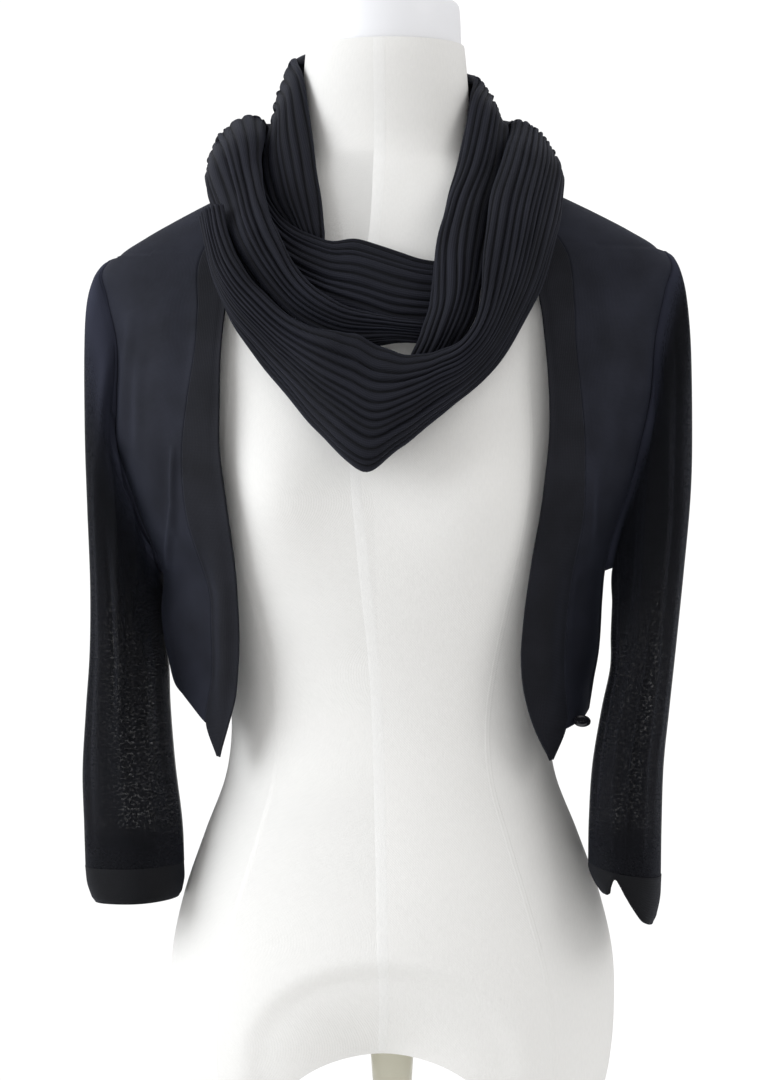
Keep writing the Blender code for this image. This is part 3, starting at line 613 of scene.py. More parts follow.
# z, how far the cloth hangs out from the form: in front, behind
EASE = [
    (410, 26, 20), (440, 24, 20), (480, 18, 18), (520, 11, 15), (560, 6, 10), (600, 3, 6),
    (650, 2, 2.5), (740, 1.6, 2), (766, 0.3, 0.6), (800, 0.3, 0.6), (840, 0.3, 0.6),
]
# z, outer edge of the body from the centre: shoulder line, armhole seam, side seam
BODY_EDGE = {
    LEFT: [(410, 138), (440, 143), (478, 154), (518, 158.8), (545, 158), (581, 170), (609, 179),
           (637, 187), (665, 187), (707, 187), (740, 195), (758, 199), (767, 194)],
    RIGHT: [(410, 134), (440, 138), (465, 142), (490, 146), (525, 149), (545, 151), (581, 160),
            (609, 170), (637, 177), (665, 183), (707, 187), (740, 194), (758, 198), (767, 193)],
}
# z, inner and outer edge of the front band from the centre
BAND_EDGES = {
    LEFT: [(421, 111, 113), (441, 104, 121), (459, 98, 122), (481, 95, 120), (514, 94, 120),
           (528, 94.5, 120), (555, 96, 125), (596, 100, 132), (629, 104.5, 132.5), (663, 105.5, 129),
           (700, 105.5, 124), (724, 103.5, 123), (764, 96, 122), (790, 82, 107), (814, 62, 84)],
    RIGHT: [(418, 114, 116), (437, 105, 124), (466, 97, 127), (486, 95.5, 127), (513, 97.5, 129),
            (553, 103.5, 133.5), (587, 110, 138), (613, 113.5, 139), (640, 116, 138.5),
            (660, 116, 137), (701, 113, 133), (728, 109.5, 132), (764, 99, 126),
            (790, 82, 107), (814, 62, 84)],
}
NECK_EDGE, SHOULDER_TIP, ARMPIT = 814, 767, 545
SHOULDER_LIFT, SHOULDER_OUT = 2.4, 2.6   # how far the shoulder line lies above and outside the form
SIDE_HEM = {LEFT: 478, RIGHT: 450}
POINT_HEM = {LEFT: 441, RIGHT: 437}
ARMHOLE_HALF_DEPTH = 27                  # half the armhole's opening from front to back
ARMHOLE_MIDDLE, ARMHOLE_HALF = (SHOULDER_TIP + ARMPIT) / 2, (SHOULDER_TIP - ARMPIT) / 2


def cloth_depth(z, back):
    column = 2 if back else 1
    return sample(FORM_RINGS, z - 0.5)[..., column] + sample(EASE, z)[..., column - 1] + CLEARANCE + CLOTH


def body_edge(side, z):
    over = sample(FORM_RINGS, z - SHOULDER_LIFT)[..., 0] + SHOULDER_OUT
    return np.where(z > SHOULDER_TIP, over, sample(BODY_EDGE[side], z)[..., 0])


def edge_angle(side, z, back=False):
    """Angle of the outer edge on the ring: 90 degrees but for the open armhole."""
    reach = np.clip(1 - ((z - ARMHOLE_MIDDLE) / ARMHOLE_HALF) ** 2, 0, 1)
    return np.arccos(ARMHOLE_HALF_DEPTH * np.sqrt(reach) / cloth_depth(z, back))


def cloth_surface(side, x, z, back=False):
    """A point of the body's outer side, from its distance to the centre and its height."""
    wide = body_edge(side, z) / np.sin(edge_angle(side, z, back))
    facing = np.sqrt(np.clip(1 - (x / wide) ** 2, 0, 1))
    depth = cloth_depth(z, back) * facing
    y = depth if back else -depth - bust(x, z, facing)
    return np.stack([side * x, y, z + 0 * x], axis=-1)


# %% [markdown]
# ## The back panel
# One piece from side seam to side seam. The back of the photo's garment is hidden, so it is kept as
# such a back is: smooth over the shoulder blades, with a few soft folds where it hangs off them.

# %% Back panel
BODY_WALL, BODY_MIDDLE = 1.1, (0, 0, 640)
SEAM_PULL = 0.15             # each panel stops this short of a seam
ALLOWANCE = 3.5              # what a panel runs on under the sleeve at the armhole


def armhole_run_on(side, angle):
    """How far a panel runs on past its edge: only where the armhole is open."""
    return ALLOWANCE * smooth_step(math.pi / 2 - angle, 0.02, 0.08)


# across from the middle and down from the shoulder line, of both ends; width and height of each crease
BACK_CREASES = [
    (-120, 60, -70, 300, 15, 2.6), (-40, 120, -55, 340, 13, 2.2), (60, 90, 40, 340, 16, 2.8),
    (125, 70, 95, 330, 13, 2.4), (10, 200, 0, 345, 10, -1.8), (-150, 200, -100, 260, 9, 1.6),
    (150, 195, 110, 250, 9, 1.7), (0, 18, 60, 60, 14, 1.0),
]
HANG_FROM, HANG_OVER = 30, 200           # the creases grow over this stretch below the shoulders
BACK_ROWS, BACK_COLUMNS = 150, 221
s = np.linspace(-1, 1, BACK_COLUMNS)[None, :]
t = np.linspace(0, 1, BACK_ROWS)[:, None] ** 0.9
left_z = NECK_EDGE + (SIDE_HEM[LEFT] - NECK_EDGE) * t
right_z = NECK_EDGE + (SIDE_HEM[RIGHT] - NECK_EDGE) * t
z = left_z + (right_z - left_z) * (s + 1) / 2
half_sheets = []
for side in (LEFT, RIGHT):
    angle = edge_angle(side, z, back=True)
    wide = body_edge(side, z) / np.sin(angle)
    swept = np.abs(s) * (angle - SEAM_PULL / wide + armhole_run_on(side, angle) / wide)
    half_sheets.append(cloth_surface(side, wide * np.sin(swept), z, back=True))
back_grid = np.where(s[..., None] < 0, half_sheets[0], half_sheets[1])
across, along = cloth_map(back_grid)
lift = creases(across, along, BACK_CREASES) * np.clip((along - HANG_FROM) / HANG_OVER, 0, 1)
normal = grid_normals(back_grid)
normal = normal * np.sign(normal[BACK_ROWS // 2, BACK_COLUMNS // 2, 1])
back_grid = back_grid + normal * lift[..., None]
back = cloth_piece("cardigan_back", back_grid, KNIT, BODY_WALL, BODY_MIDDLE)
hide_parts("back_panel")

# %% [markdown]
# ## How the fronts swing free
# Below the bust nothing holds the fronts, so each one bends in along the band's seam and stands out
# again on the band. Panel and band share this bend, or the seam between them would open.

# %% The swing of the fronts
SWING_DEEP = {LEFT: 6.5, RIGHT: 4.5}
SWING_TOP, SWING_FULL, SWING_END, SWING_FADE = 585, 520, 440, 35
DIP_WIDE, DIP_WIDE_ON_BAND = 20.0, 8.0
RIDGE_SHARE, RIDGE_OFF, RIDGE_WIDE = 0.45, 15, 6.5           # the band stands out beside the dip


def front_swing(side, x, z):
    """How far the front stands out from its smooth surface, close to the band's seam."""
    off = x - sample(BAND_EDGES[side], z)[..., 1]
    spread = np.where(off > 0, DIP_WIDE, DIP_WIDE_ON_BAND)
    dip = -np.exp(-(off / spread) ** 2) + RIDGE_SHARE * np.exp(-((off + RIDGE_OFF) / RIDGE_WIDE) ** 2)
    fade = smooth_step(z, SWING_TOP, SWING_FULL) * smooth_step(z, SWING_END, SWING_END + SWING_FADE)
    return SWING_DEEP[side] * dip * fade


# %% [markdown]
# ## The front panels
# Each front runs from its band to the shoulder seam, the armhole and the side seam, and drops to a
# point at the band. The soft folds follow the photo: one falls from the armhole, one from the bust
# towards the side. Simulated cloth would hang well too, but its folds would not fall where these do.

# %% Front panels
UNDERLAP, UNDERLAP_DEEP = 2.5, 1.7          # the panel's edge lies under the band
FRONT_ROWS, FRONT_COLUMNS = 200, 100
# distance from the centre and height of both ends; width and height of each crease
FRONT_CREASES = {
    LEFT: [(173, 728, 184, 628, 4.5, 2.4), (167, 700, 166, 622, 4.5, 2.0), (176, 700, 176, 622, 4.0, -1.4),
           (139, 634, 142, 570, 2.6, 3.0), (142, 592, 151, 548, 2.6, 2.7), (147, 632, 150, 566, 6, -1.6),
           (149, 745, 147, 640, 9, 1.0), (158, 690, 156, 600, 7, 1.2), (160, 560, 157, 486, 6, 1.4),
           (133, 745, 128, 660, 8, -0.9), (150, 530, 146, 462, 5, 1.6)],
    RIGHT: [(181, 712, 176, 632, 5, 2.2), (174, 650, 155, 560, 5, 2.2), (168, 690, 160, 610, 7, -1.4),
            (151, 618, 147, 562, 4, -2.0), (142, 612, 139, 540, 5, 1.8), (160, 748, 152, 650, 10, 1.0),
            (146, 545, 143, 462, 5, 1.8), (136, 560, 134, 470, 4.5, -1.4), (150, 700, 146, 610, 8, 0.9)],
}


def front_grid(side):
    stretch = (NECK_EDGE - POINT_HEM[side]) / (NECK_EDGE - SIDE_HEM[side])
    level = NECK_EDGE + (SIDE_HEM[side] - NECK_EDGE) * np.linspace(0, 1, FRONT_ROWS)[:, None]
    s = np.linspace(0, 1, FRONT_COLUMNS)[None, :]
    z = (1 - s) * (NECK_EDGE - (NECK_EDGE - level) * stretch) + s * level
    angle = edge_angle(side, z)
    wide = body_edge(side, z) / np.sin(angle)
    seam = sample(BAND_EDGES[side], z)[..., 1]
    start = np.arcsin(np.minimum(0.97, (seam - UNDERLAP) / wide))
    end = angle - SEAM_PULL / wide + armhole_run_on(side, angle) / wide
    turn = start + (end - start) * s
    x = wide * np.sin(turn)
    grid = cloth_surface(side, x, z)
    normal = grid_normals(grid)
    normal = normal * np.where(normal[..., 1:2] > 0, -1, 1)
    to_armhole = smooth_step((angle - turn) * wide, 0.5, 7)
    tuck = UNDERLAP_DEEP * smooth_step(x - seam, 0.7, -0.5)
    lift = creases(x, z, FRONT_CREASES[side]) * to_armhole * smooth_step(x - seam, 0, 6)
    lift = lift + front_swing(side, x, z) * smooth_step((angle - turn) * wide, 0, 14) - tuck
    return grid + normal * lift[..., None]


for side in (LEFT, RIGHT):
    grid = front_grid(side)
    front = cloth_piece("cardigan_front_" + SIDE_NAMES[side], grid, KNIT, BODY_WALL, BODY_MIDDLE)
    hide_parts("front_panel_" + SIDE_NAMES[side])

# %% [markdown]
# ## The front bands
# A plain band of closer knit finishes each open front, and tapers into the point of the hem. It is
# sewn over the edge of the panel, so its own edge shows as a low step, and it rolls a little along
# the free side, as knitted edges do.

# %% Front bands
BAND_ROWS, BAND_COLUMNS = 260, 34
BAND_WALL, BAND_LIFT = 1.3, 0.15         # the band lies a little above the panel


def band_grid(side):
    z = np.linspace(NECK_EDGE, BAND_EDGES[side][0][0], BAND_ROWS)[:, None]
    edges = sample(BAND_EDGES[side], z[:, 0])
    share = np.linspace(0, 1, BAND_COLUMNS)[None, :]
    x = edges[:, :1] + (edges[:, 1:] - edges[:, :1]) * share
    grid = cloth_surface(side, x, z + 0 * x)
    normal = grid_normals(grid)
    normal = normal * np.where(normal[..., 1:2] > 0, -1, 1)
    roll = 0.7 * np.exp(-(share / 0.07) ** 2) - 0.25 * np.exp(-((share - 0.2) / 0.08) ** 2)
    lift = front_swing(side, x, z) + roll + BAND_LIFT
    return grid + normal * lift[..., None]


for side in (LEFT, RIGHT):
    grid = band_grid(side)
    band = cloth_piece("cardigan_band_" + SIDE_NAMES[side], grid, BAND_KNIT, BAND_WALL, BODY_MIDDLE)
    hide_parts("front_band_" + SIDE_NAMES[side])

# %% [markdown]
# ## Tapes inside the seams
# Front and back meet at the shoulder and the side. A knit seam there is overlocked, and the shoulder
# has a stay tape so it can't stretch. Inside each of them lies a narrow strip of jersey, just under the
# cloth, which also keeps the pale form from shining through the seam.

# %% Seam tapes
TAPE_HALF, TAPE_DEEP, TAPE_WALL = 9.0, 1.25, 0.4
TAPE_ROWS, TAPE_COLUMNS = 60, 7          # the columns are those of one half


def tape_grid(side, high, low):
    z = np.linspace(high, low, TAPE_ROWS)[:, None]
    steps = np.linspace(0, TAPE_HALF, TAPE_COLUMNS)
    halves = []
    for back, from_seam in ((False, steps[::-1]), (True, steps[1:])):
        angle = edge_angle(side, z, back)
        wide = body_edge(side, z) / np.sin(angle)
        halves.append(cloth_surface(side, wide * np.sin(angle - from_seam / wide), z, back))
    grid = np.concatenate(halves, axis=1)
    normal = grid_normals(grid)
    normal = normal * np.sign(normal[..., :1] * side)
    return grid - normal * TAPE_DEEP


for side in (LEFT, RIGHT):
    runs = {"shoulder": (NECK_EDGE - 1, SHOULDER_TIP + 1), "side": (ARMPIT - 1, SIDE_HEM[side] + 1)}
    for seam, (high, low) in runs.items():
        grid = tape_grid(side, high, low)
        name = f"cardigan_{seam}_tape_{SIDE_NAMES[side]}"
        tape = cloth_piece(name, grid, BAND_KNIT, TAPE_WALL, BODY_MIDDLE)

# %% [markdown]
# ## The sleeves
# A sleeve is a tube through slanted sections, from the armhole ring down to the cuff. It is empty, so
# it hangs half collapsed with long soft folds, and each fold is laid in one by one on the unrolled tube.

# %% Sleeves
# outer x and z, inner x and z, half depth front to back, middle in y
SLEEVE_ROWS = {
    LEFT: [(204, 750, 148, 542, 32, 0), (209.5, 722, 149, 537, 39, 0), (212, 688, 155, 531, 46, 0),
           (213, 645, 160, 523, 53, 0), (211, 596, 159.5, 512, 57, -2), (208.5, 541, 158.5, 498, 59, -5),
           (208.5, 493, 155.6, 478, 58, -9), (211, 452, 154, 452, 55, -13), (213.3, 409, 150, 412, 51, -17),
           (212, 371, 144.5, 373, 47, -21), (210.8, 343, 142.8, 345, 45, -24)],
    RIGHT: [(203, 748, 147, 542, 32, 0), (208, 718, 146, 537, 39, 0), (211.5, 685, 150.5, 531, 46, 0),
            (212, 640, 155.6, 524, 53, 0), (210.5, 596, 155.2, 514, 57, -2), (205.5, 545, 154.6, 500, 59, -6),
            (199.5, 491, 154, 478, 58, -11), (194.5, 448, 148, 450, 56, -16),
            (190.5, 412, 141.5, 412, 54, -22), (188.8, 372, 139, 376, 52, -28),
            (188, 338, 138.4, 348, 50, -34)],
}
CUFF_ROWS = {
    LEFT: [(211, 343, 143, 345, 45.4, -24), (209, 331, 143, 333, 45, -25),
           (205, 319, 145, 321, 44, -26)],
    RIGHT: [(188.4, 338, 138.6, 348, 50.4, -34), (187, 322, 139, 338, 50, -36),
            (184, 307, 142, 328, 49, -38)],
}
# the sleeve's first sections: how far each has turned from the armhole's shape, how far out it lies
SEAM_BLEND, SEAM_REACH = (0.25, 0.5, 0.75), (8, 14, 18)
SEAM_GAP, SEAM_LIP = 0.35, 2.5           # the seam's edge and its lip, out from the body
LIP_SPREAD, LIP_DROP = 0.025, 0.4
SLEEVE_SIDES, SLEEVE_STEPS = 150, 210
SLEEVE_FOLDS, SLEEVE_FOLD_SHARE = 3, 0.044
SLEEVE_GIRTH, SLEEVE_LONG = 330, 430     # round figures that place the creases on the unrolled tube
around = np.linspace(0, math.tau, SLEEVE_SIDES, endpoint=False)
share_round = (around / math.tau)[None, :] + np.zeros((SLEEVE_STEPS, 1))
down = np.linspace(0, SLEEVE_LONG, SLEEVE_STEPS)[:, None] + np.zeros((1, SLEEVE_SIDES))


def armhole_ring(side, out):
    """The sleeve's seam round the armhole, moved out from the body by a distance."""
    z = ARMHOLE_MIDDLE + ARMHOLE_HALF * np.cos(around)
    deep = ARMHOLE_HALF_DEPTH * (1 + LIP_SPREAD * out)
    return np.stack([side * (body_edge(side, z) + out), -deep * np.sin(around),
                     z - LIP_DROP * out * np.cos(around)], axis=1)


def sleeve_ring(side, row):
    """One section of the sleeve, from its outer and inner point and its depth."""
    outer_x, outer_z, inner_x, inner_z, deep, middle_y = row
    fold = 1 - SLEEVE_FOLD_SHARE * (1 - np.cos(SLEEVE_FOLDS * around)) * np.abs(np.sin(around))
    x = (outer_x + inner_x) / 2 + (outer_x - inner_x) / 2 * np.cos(around)
    z = (outer_z + inner_z) / 2 + (outer_z - inner_z) / 2 * np.cos(around)
    return np.stack([side * x, middle_y - deep * np.sin(around) * fold, z], axis=1)


# share of the way round (0.25 is the front, 0.75 the back) and distance down, of both ends; width, height
SLEEVE_CREASES = {
    LEFT: [(0.25, 18, 0.30, 118, 6, -3.0), (0.20, 30, 0.19, 190, 7, 2.0), (0.33, 60, 0.35, 210, 6, 2.2),
           (0.40, 40, 0.41, 180, 6, -2.0), (0.17, 150, 0.19, 400, 8, 2.0), (0.22, 190, 0.245, 330, 4, -2.0),
           (0.265, 130, 0.27, 380, 5, 2.2), (0.31, 200, 0.30, 415, 5, -2.4), (0.37, 250, 0.35, 425, 6, 1.8),
           (0.43, 200, 0.42, 400, 6, -1.6), (0.12, 250, 0.13, 420, 7, -1.5), (0.09, 20, 0.11, 140, 8, 1.2),
           (0.70, 60, 0.74, 300, 7, 2.2), (0.80, 130, 0.78, 390, 6, -2.0), (0.63, 200, 0.66, 400, 6, 1.8),
           (0.88, 60, 0.84, 260, 7, 1.8), (0.58, 30, 0.60, 190, 6, 2.0), (0.75, 300, 0.73, 425, 5, -1.6)],
    RIGHT: [(0.24, 20, 0.30, 110, 6, -2.6), (0.19, 60, 0.20, 260, 6, 2.0), (0.14, 80, 0.155, 300, 6, -1.8),
            (0.27, 120, 0.28, 330, 5, 2.2), (0.33, 70, 0.34, 260, 6, -2.0), (0.39, 100, 0.37, 330, 6, 1.8),
            (0.22, 230, 0.235, 420, 5, -2.2), (0.18, 280, 0.17, 425, 6, 1.8), (0.31, 280, 0.29, 420, 5, 2.0),
            (0.43, 220, 0.40, 400, 6, -1.6), (0.10, 200, 0.11, 400, 7, 1.2), (0.25, 330, 0.26, 425, 3.5, 1.4),
            (0.72, 90, 0.75, 330, 7, 2.1), (0.82, 60, 0.79, 300, 6, -1.9), (0.65, 180, 0.68, 390, 6, 1.8),
            (0.90, 50, 0.86, 220, 7, 1.7), (0.59, 40, 0.61, 210, 6, 1.9), (0.76, 310, 0.74, 425, 5, -1.6)],
}
# streaks where the thin cloth is pulled open, placed like the creases; the last number is how far open
PULLED = {
    LEFT: [(0.24, 200, 0.255, 350, 7, 0.9), (0.40, 270, 0.375, 380, 10, 1.0), (0.31, 310, 0.30, 425, 7, 0.7),
           (0.19, 150, 0.26, 215, 8, 0.6), (0.34, 110, 0.37, 190, 8, 0.5), (0.35, 360, 0.34, 428, 6, 0.7),
           (0.27, 330, 0.26, 420, 6, 0.6), (0.42, 360, 0.41, 425, 6, 0.5),
           (0.68, 180, 0.70, 340, 9, 0.8), (0.82, 250, 0.80, 400, 9, 0.8), (0.61, 280, 0.63, 420, 8, 0.7)],
    RIGHT: [(0.12, 80, 0.165, 190, 8, 1.1), (0.15, 170, 0.20, 270, 8, 1.0), (0.22, 120, 0.25, 230, 8, 0.5),
            (0.17, 255, 0.205, 345, 5, 1.0), (0.30, 300, 0.345, 345, 4, 0.9), (0.285, 375, 0.30, 422, 4, 0.9),
            (0.15, 370, 0.17, 428, 5, 0.7), (0.35, 220, 0.37, 320, 6, 0.4), (0.21, 340, 0.20, 400, 5, 0.5),
            (0.67, 170, 0.70, 330, 9, 0.8), (0.83, 220, 0.80, 390, 9, 0.9), (0.61, 290, 0.63, 420, 8, 0.6)],
}
# distance down over which each sleeve turns from plain to thin, and from its lighter head colour to its
# darker thin colour (the thin yarn's tone and painted shade), and its back grows more open
THINNING = {LEFT: (90, 180), RIGHT: (35, 110)}
OPENING = (200, 290)
CLOSING = (SLEEVE_LONG - 36, SLEEVE_LONG - 8)            # the cloth closes again towards the cuff
CLOSED_SHARE = 0.75
BETWEEN_FRONT, BETWEEN_BACK = 0.08, 0.37
EVERYWHERE, STREAK = 0.45, 0.62          # dots all over the thin cloth, and more of them in a streak
FEWER_BEHIND = 0.7
FRONT_HALF = (0.22, 0.3)                 # shares of the way round from the middle of the front
TUCK_IN, TUCK_DEEP = 2.9, 5.0            # the sleeve's end runs on inside the cuff
TUCK_STEPS = np.linspace(0.3, 1, 4)
SLEEVE_WALL = 0.8


def sleeve_grid(side):
    rings = [armhole_ring(side, SEAM_GAP), armhole_ring(side, SEAM_LIP)]
    rows = [sleeve_ring(side, row) for row in SLEEVE_ROWS[side]]
    for row, blend, reach in zip(rows, SEAM_BLEND, SEAM_REACH):
        rings.append((1 - blend) * armhole_ring(side, reach) + blend * row)
    rings += rows[len(SEAM_BLEND):]
    grid = through(rings, SLEEVE_STEPS)
    lift = creases(share_round, down, SLEEVE_CREASES[side], SLEEVE_GIRTH)
    lift = lift * smooth_step(down, 4, 34) * smooth_step(down, SLEEVE_LONG, SLEEVE_LONG - 14)
    normal = grid_normals(grid, closed=True)
    middle = grid.mean(axis=1, keepdims=True)
    normal = normal * np.sign(np.sum(normal * (grid - middle), axis=-1, keepdims=True))
    grid = grid + normal * lift[..., None]
    end = grid[-1]
    inward = unit((end.mean(axis=0) - end) * np.array([1, 1, 0]))
    tucked = [end + inward * TUCK_IN * t + np.array([0, 0, -TUCK_DEEP * t]) for t in TUCK_STEPS]
    return np.concatenate([grid, tucked])


def openness(side):
    """The three numbers that the see-through finish reads, for each point of a sleeve."""
    # this number also darkens the sleeve from its head down: the thin yarn's own tone and painted shade
    thin = smooth_step(down, *THINNING[side])
    bare = thin * (1 - CLOSED_SHARE * smooth_step(down, *CLOSING))
    behind = (smooth_step(np.abs(share_round - 0.25), *FRONT_HALF)
              * smooth_step(np.abs(share_round - 1.25), *FRONT_HALF))
    between = BETWEEN_FRONT + (BETWEEN_BACK - BETWEEN_FRONT) * behind * smooth_step(down, *OPENING)
    streaks = np.clip(creases(share_round, down, PULLED[side], SLEEVE_GIRTH), 0, 1.1)
    pulled = (EVERYWHERE + STREAK * streaks) * (1 - FEWER_BEHIND * behind)
    return {"sheer_and_shade": thin, "between": bare * between, "pulled": bare * pulled}


for side in (LEFT, RIGHT):
    grid = sleeve_grid(side)
    sleeve = cloth_piece("cardigan_sleeve_" + SIDE_NAMES[side], grid, SHEER, SLEEVE_WALL,
                         (side * 180, 0, 540), closed=True)
    for number, values in openness(side).items():
        paint(sleeve, number, np.pad(values, ((0, len(TUCK_STEPS)), (0, 0)), mode="edge"))
    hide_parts("sleeve_" + SIDE_NAMES[side])

# %% [markdown]
# ## The cuffs
# The end of each sleeve is turned up double, which is why it is no longer see-through. The tube
# draws in towards its lower edge. The hem of the sleeve on the viewer's right doesn't hang level:
# it dips at the outer side, and kicks up in a small notch near the inner one.

# %% Cuffs
CUFF_STEPS, HEM_SEAM = 30, 0.06
CUFF_WALL, CUFF_SWELL, CUFF_DRAW = 2.0, 0.4, 1.2         # it swells at the middle and draws in at the edge
# degrees round from the outer side, height of the lower edge
NOTCHED_HEM = [(0, 308), (25, 307), (52, 311), (72, 320), (88, 329), (98, 336), (104, 339.5), (109, 339.5),
               (113, 336), (119, 330.5), (130, 329.5), (143, 331), (160, 335), (174, 340), (200, 340),
               (240, 336), (270, 331), (300, 322), (330, 312), (352, 308.2), (360, 308)]


def cuff_grid(side):
    rings = [sleeve_ring(side, row) for row in CUFF_ROWS[side]]
    rings[0][:, 2] -= HEM_SEAM
    if side == RIGHT:
        hem = sample(NOTCHED_HEM, np.degrees(around))[:, 0]
        rings[1][:, 2] = (rings[0][:, 2] + hem) / 2
        rings[2][:, 2] = hem
    grid = through(rings, CUFF_STEPS)
    share = np.linspace(0, 1, CUFF_STEPS)[:, None]
    middle = grid.mean(axis=1, keepdims=True)
    out = unit((grid - middle) * np.array([1, 1, 0]))
    ridge = CUFF_SWELL * np.exp(-((share - 0.5) / 0.3) ** 2) - CUFF_DRAW * smooth_step(share, 0.86, 1.0)
    return grid + out * ridge[..., None]


for side in (LEFT, RIGHT):
    grid = cuff_grid(side)
    cuff = cloth_piece("cardigan_cuff_" + SIDE_NAMES[side], grid, CUFF_KNIT, CUFF_WALL,
                       (side * 178, -25, 330), closed=True)
    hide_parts("cuff_" + SIDE_NAMES[side])

# %% [markdown]
# ## The ribbed loop collar
# The collar is one long loop of rib knit, wound twice round the neck. Each stretch that shows is a
# piece: a row of sections, each with one edge, the crown of the roll and the other edge, and half an
# ellipse through them. The ribs are real: the outer side is lifted in rounded ridges that wander
# a little, as knitted ribs do when they are pulled round a bend.

# %% Sections of the collar
# one edge, the crown of the roll, the other edge; each is (x, y, z)
FRONT_DRAPE = [
    ((-118, -54, 787), (-118, -75, 791), (-102, -88, 794)),
    ((-114, -67, 767), (-111, -90, 769), (-96, -98, 771)),
    ((-108, -79, 744), (-103, -103, 748), (-87, -107, 752)),
    ((-96, -93, 717), (-88, -113, 726), (-74, -111, 734)),
    ((-75, -105, 687), (-62, -123, 702), (-52, -118, 714)),
    ((-46, -117, 652), (-35, -137, 680), (-27, -123, 705)),
    ((-24, -129, 629), (-15, -144, 660), (-10, -122, 704)),
    ((-3, -135, 613), (5, -146, 653), (9, -122, 693)),
    ((19, -131, 629), (26, -143, 658), (29, -124, 689)),
    ((44, -123, 650), (45, -137, 668), (46, -126, 692)),
    ((64, -111, 666), (63, -131, 682), (63, -126, 701)),
    ((85, -97, 688), (78, -124, 703), (72, -121, 720)),
    ((107, -79, 732), (92, -110, 738), (74, -110, 753)),
    ((120, -61, 778), (106, -88, 784), (76, -86, 793)),
    ((121, -32, 810), (115, -50, 822), (85, -46, 832)),
    ((119, 0, 819), (111, -6, 846), (88, -4, 857)),
]
BACK_OUTER = [
    ((119, 0, 819), (111, -6, 846), (88, -4, 857)),
    ((110, 36, 816), (104, 38, 846), (82, 34, 862)),
    ((88, 68, 812), (84, 74, 845), (68, 66, 868)),
    ((50, 96, 800), (48, 104, 838), (40, 92, 868)),
    ((0, 106, 792), (0, 114, 832), (0, 101, 868)),
    ((-50, 96, 800), (-50, 104, 838), (-42, 92, 868)),
    ((-90, 68, 812), (-88, 74, 845), (-70, 66, 868)),
    ((-115, 36, 816), (-110, 38, 849), (-84, 34, 862)),
    ((-121, 2, 814), (-117, 0, 853), (-84, 0, 861)),
]
OUTER_LEFT = [
    ((-121, 2, 814), (-117, 0, 853), (-84, 0, 861)),
    ((-116, -36, 805), (-109, -51, 832), (-80, -34, 847)),
    ((-108, -56, 781), (-97, -79, 800), (-80, -55, 825)),
    ((-99, -73, 757), (-85, -100, 775), (-75, -77, 799)),
    ((-79, -87, 732), (-70, -108, 749), (-64, -93, 772)),
    ((-51, -99, 707), (-49, -113, 724), (-48, -105, 745)),
    ((-19, -106, 694), (-21, -114, 709), (-24, -110, 726)),
    ((16, -105, 699), (13, -111, 706), (9, -108, 716)),
    ((44, -100, 697), (44, -106, 704), (44, -102, 711)),
]
UPPER_FRONT = [
    ((-86, -50, 819), (-88, -62, 803), (-85, -64, 785)),
    ((-64, -72, 786), (-64, -84, 767), (-63, -86, 749)),
    ((-35, -77, 770), (-35, -93, 750), (-35, -95, 730)),
    ((-12, -78, 770), (-11, -96, 744), (-11, -97, 720)),
    ((16, -79, 760), (16, -98, 734), (16, -97, 713)),
    ((41, -78, 754), (41, -95, 730), (38, -95, 713)),
    ((60, -78, 754), (62, -94, 734), (60, -95, 718)),
]
INNER_LEFT = [
    ((-63, 8, 906), (-76, 6, 883), (-83, 6, 845)),
    ((-57, -17, 891), (-68, -24, 873), (-84, -17, 840)),
    ((-49, -38, 850), (-64, -47, 842), (-85, -33, 824)),
    ((-42, -56, 813), (-57, -64, 807), (-79, -52, 803)),
    ((-37, -68, 782), (-50, -73, 782), (-64, -62, 785)),
    ((-36, -71.6, 770), (-46, -74.6, 772), (-58, -69.6, 775)),
]
BACK_INNER = [
    ((-63, 8, 906), (-76, 6, 883), (-83, 6, 845)),
    ((-55, 50, 912), (-67, 54, 888), (-73, 55, 825)),
    ((-30, 73, 914), (-34, 84, 888), (-37, 73.5, 815)),
    ((0, 78, 912), (0, 92, 886), (0, 77.8, 814.4)),
    ((30, 73, 904), (34, 84, 882), (37, 73.5, 815)),
    ((54, 50, 896), (64, 56, 878), (73, 55, 825)),
    ((61, 8, 889), (74, 8, 877), (82, 8, 850)),
]
INNER_RIGHT = [
    ((61, 8, 889), (74, 8, 877), (82, 8, 850)),
    ((60, -17, 865), (74, -26, 862), (86, -8, 846)),
    ((55, -40, 827), (70, -52, 824), (86, -32, 819)),
    ((48, -64, 795), (62, -79, 793), (82, -60, 793)),
    ((42, -83, 764), (58, -100, 762), (78, -82, 765)),
    ((39, -103, 726), (56, -114, 729), (72, -97, 738)),
    ((34, -110, 706), (49, -118, 707), (68, -108, 714)),
    ((25, -111, 688), (38, -115, 687), (56, -109, 694)),
    ((17, -114, 673), (29, -119, 672), (43, -114, 675)),
]

# %% [markdown]
# ## From sections to a roll of rib knit
# The ribs are a relief on the outer wall: each has its own width and height, strays a little along the
# stretch, and some grooves between them sink into folds. Real ribs could be bump alone, but these are
# thick enough to show at the edges of the roll, so they are part of the shape.

# %% Ribs of a roll
RIB_WALL, RIB_HEIGHT, RIB_SUNK = 2.0, 1.7, 0.45          # the grooves lie a little below the section
RIM_WAVE = 0.022             # how far the edges of a roll wave in and out, as a share of half its width
RIB_POINTS, INNER_COLUMNS = 10, 25       # points across one rib, and across the whole inner wall
RIB_WANDER = 0.03            # how far a rib strays, as a share of the width
ROW_STEP = 2.6               # distance between the rows along a roll


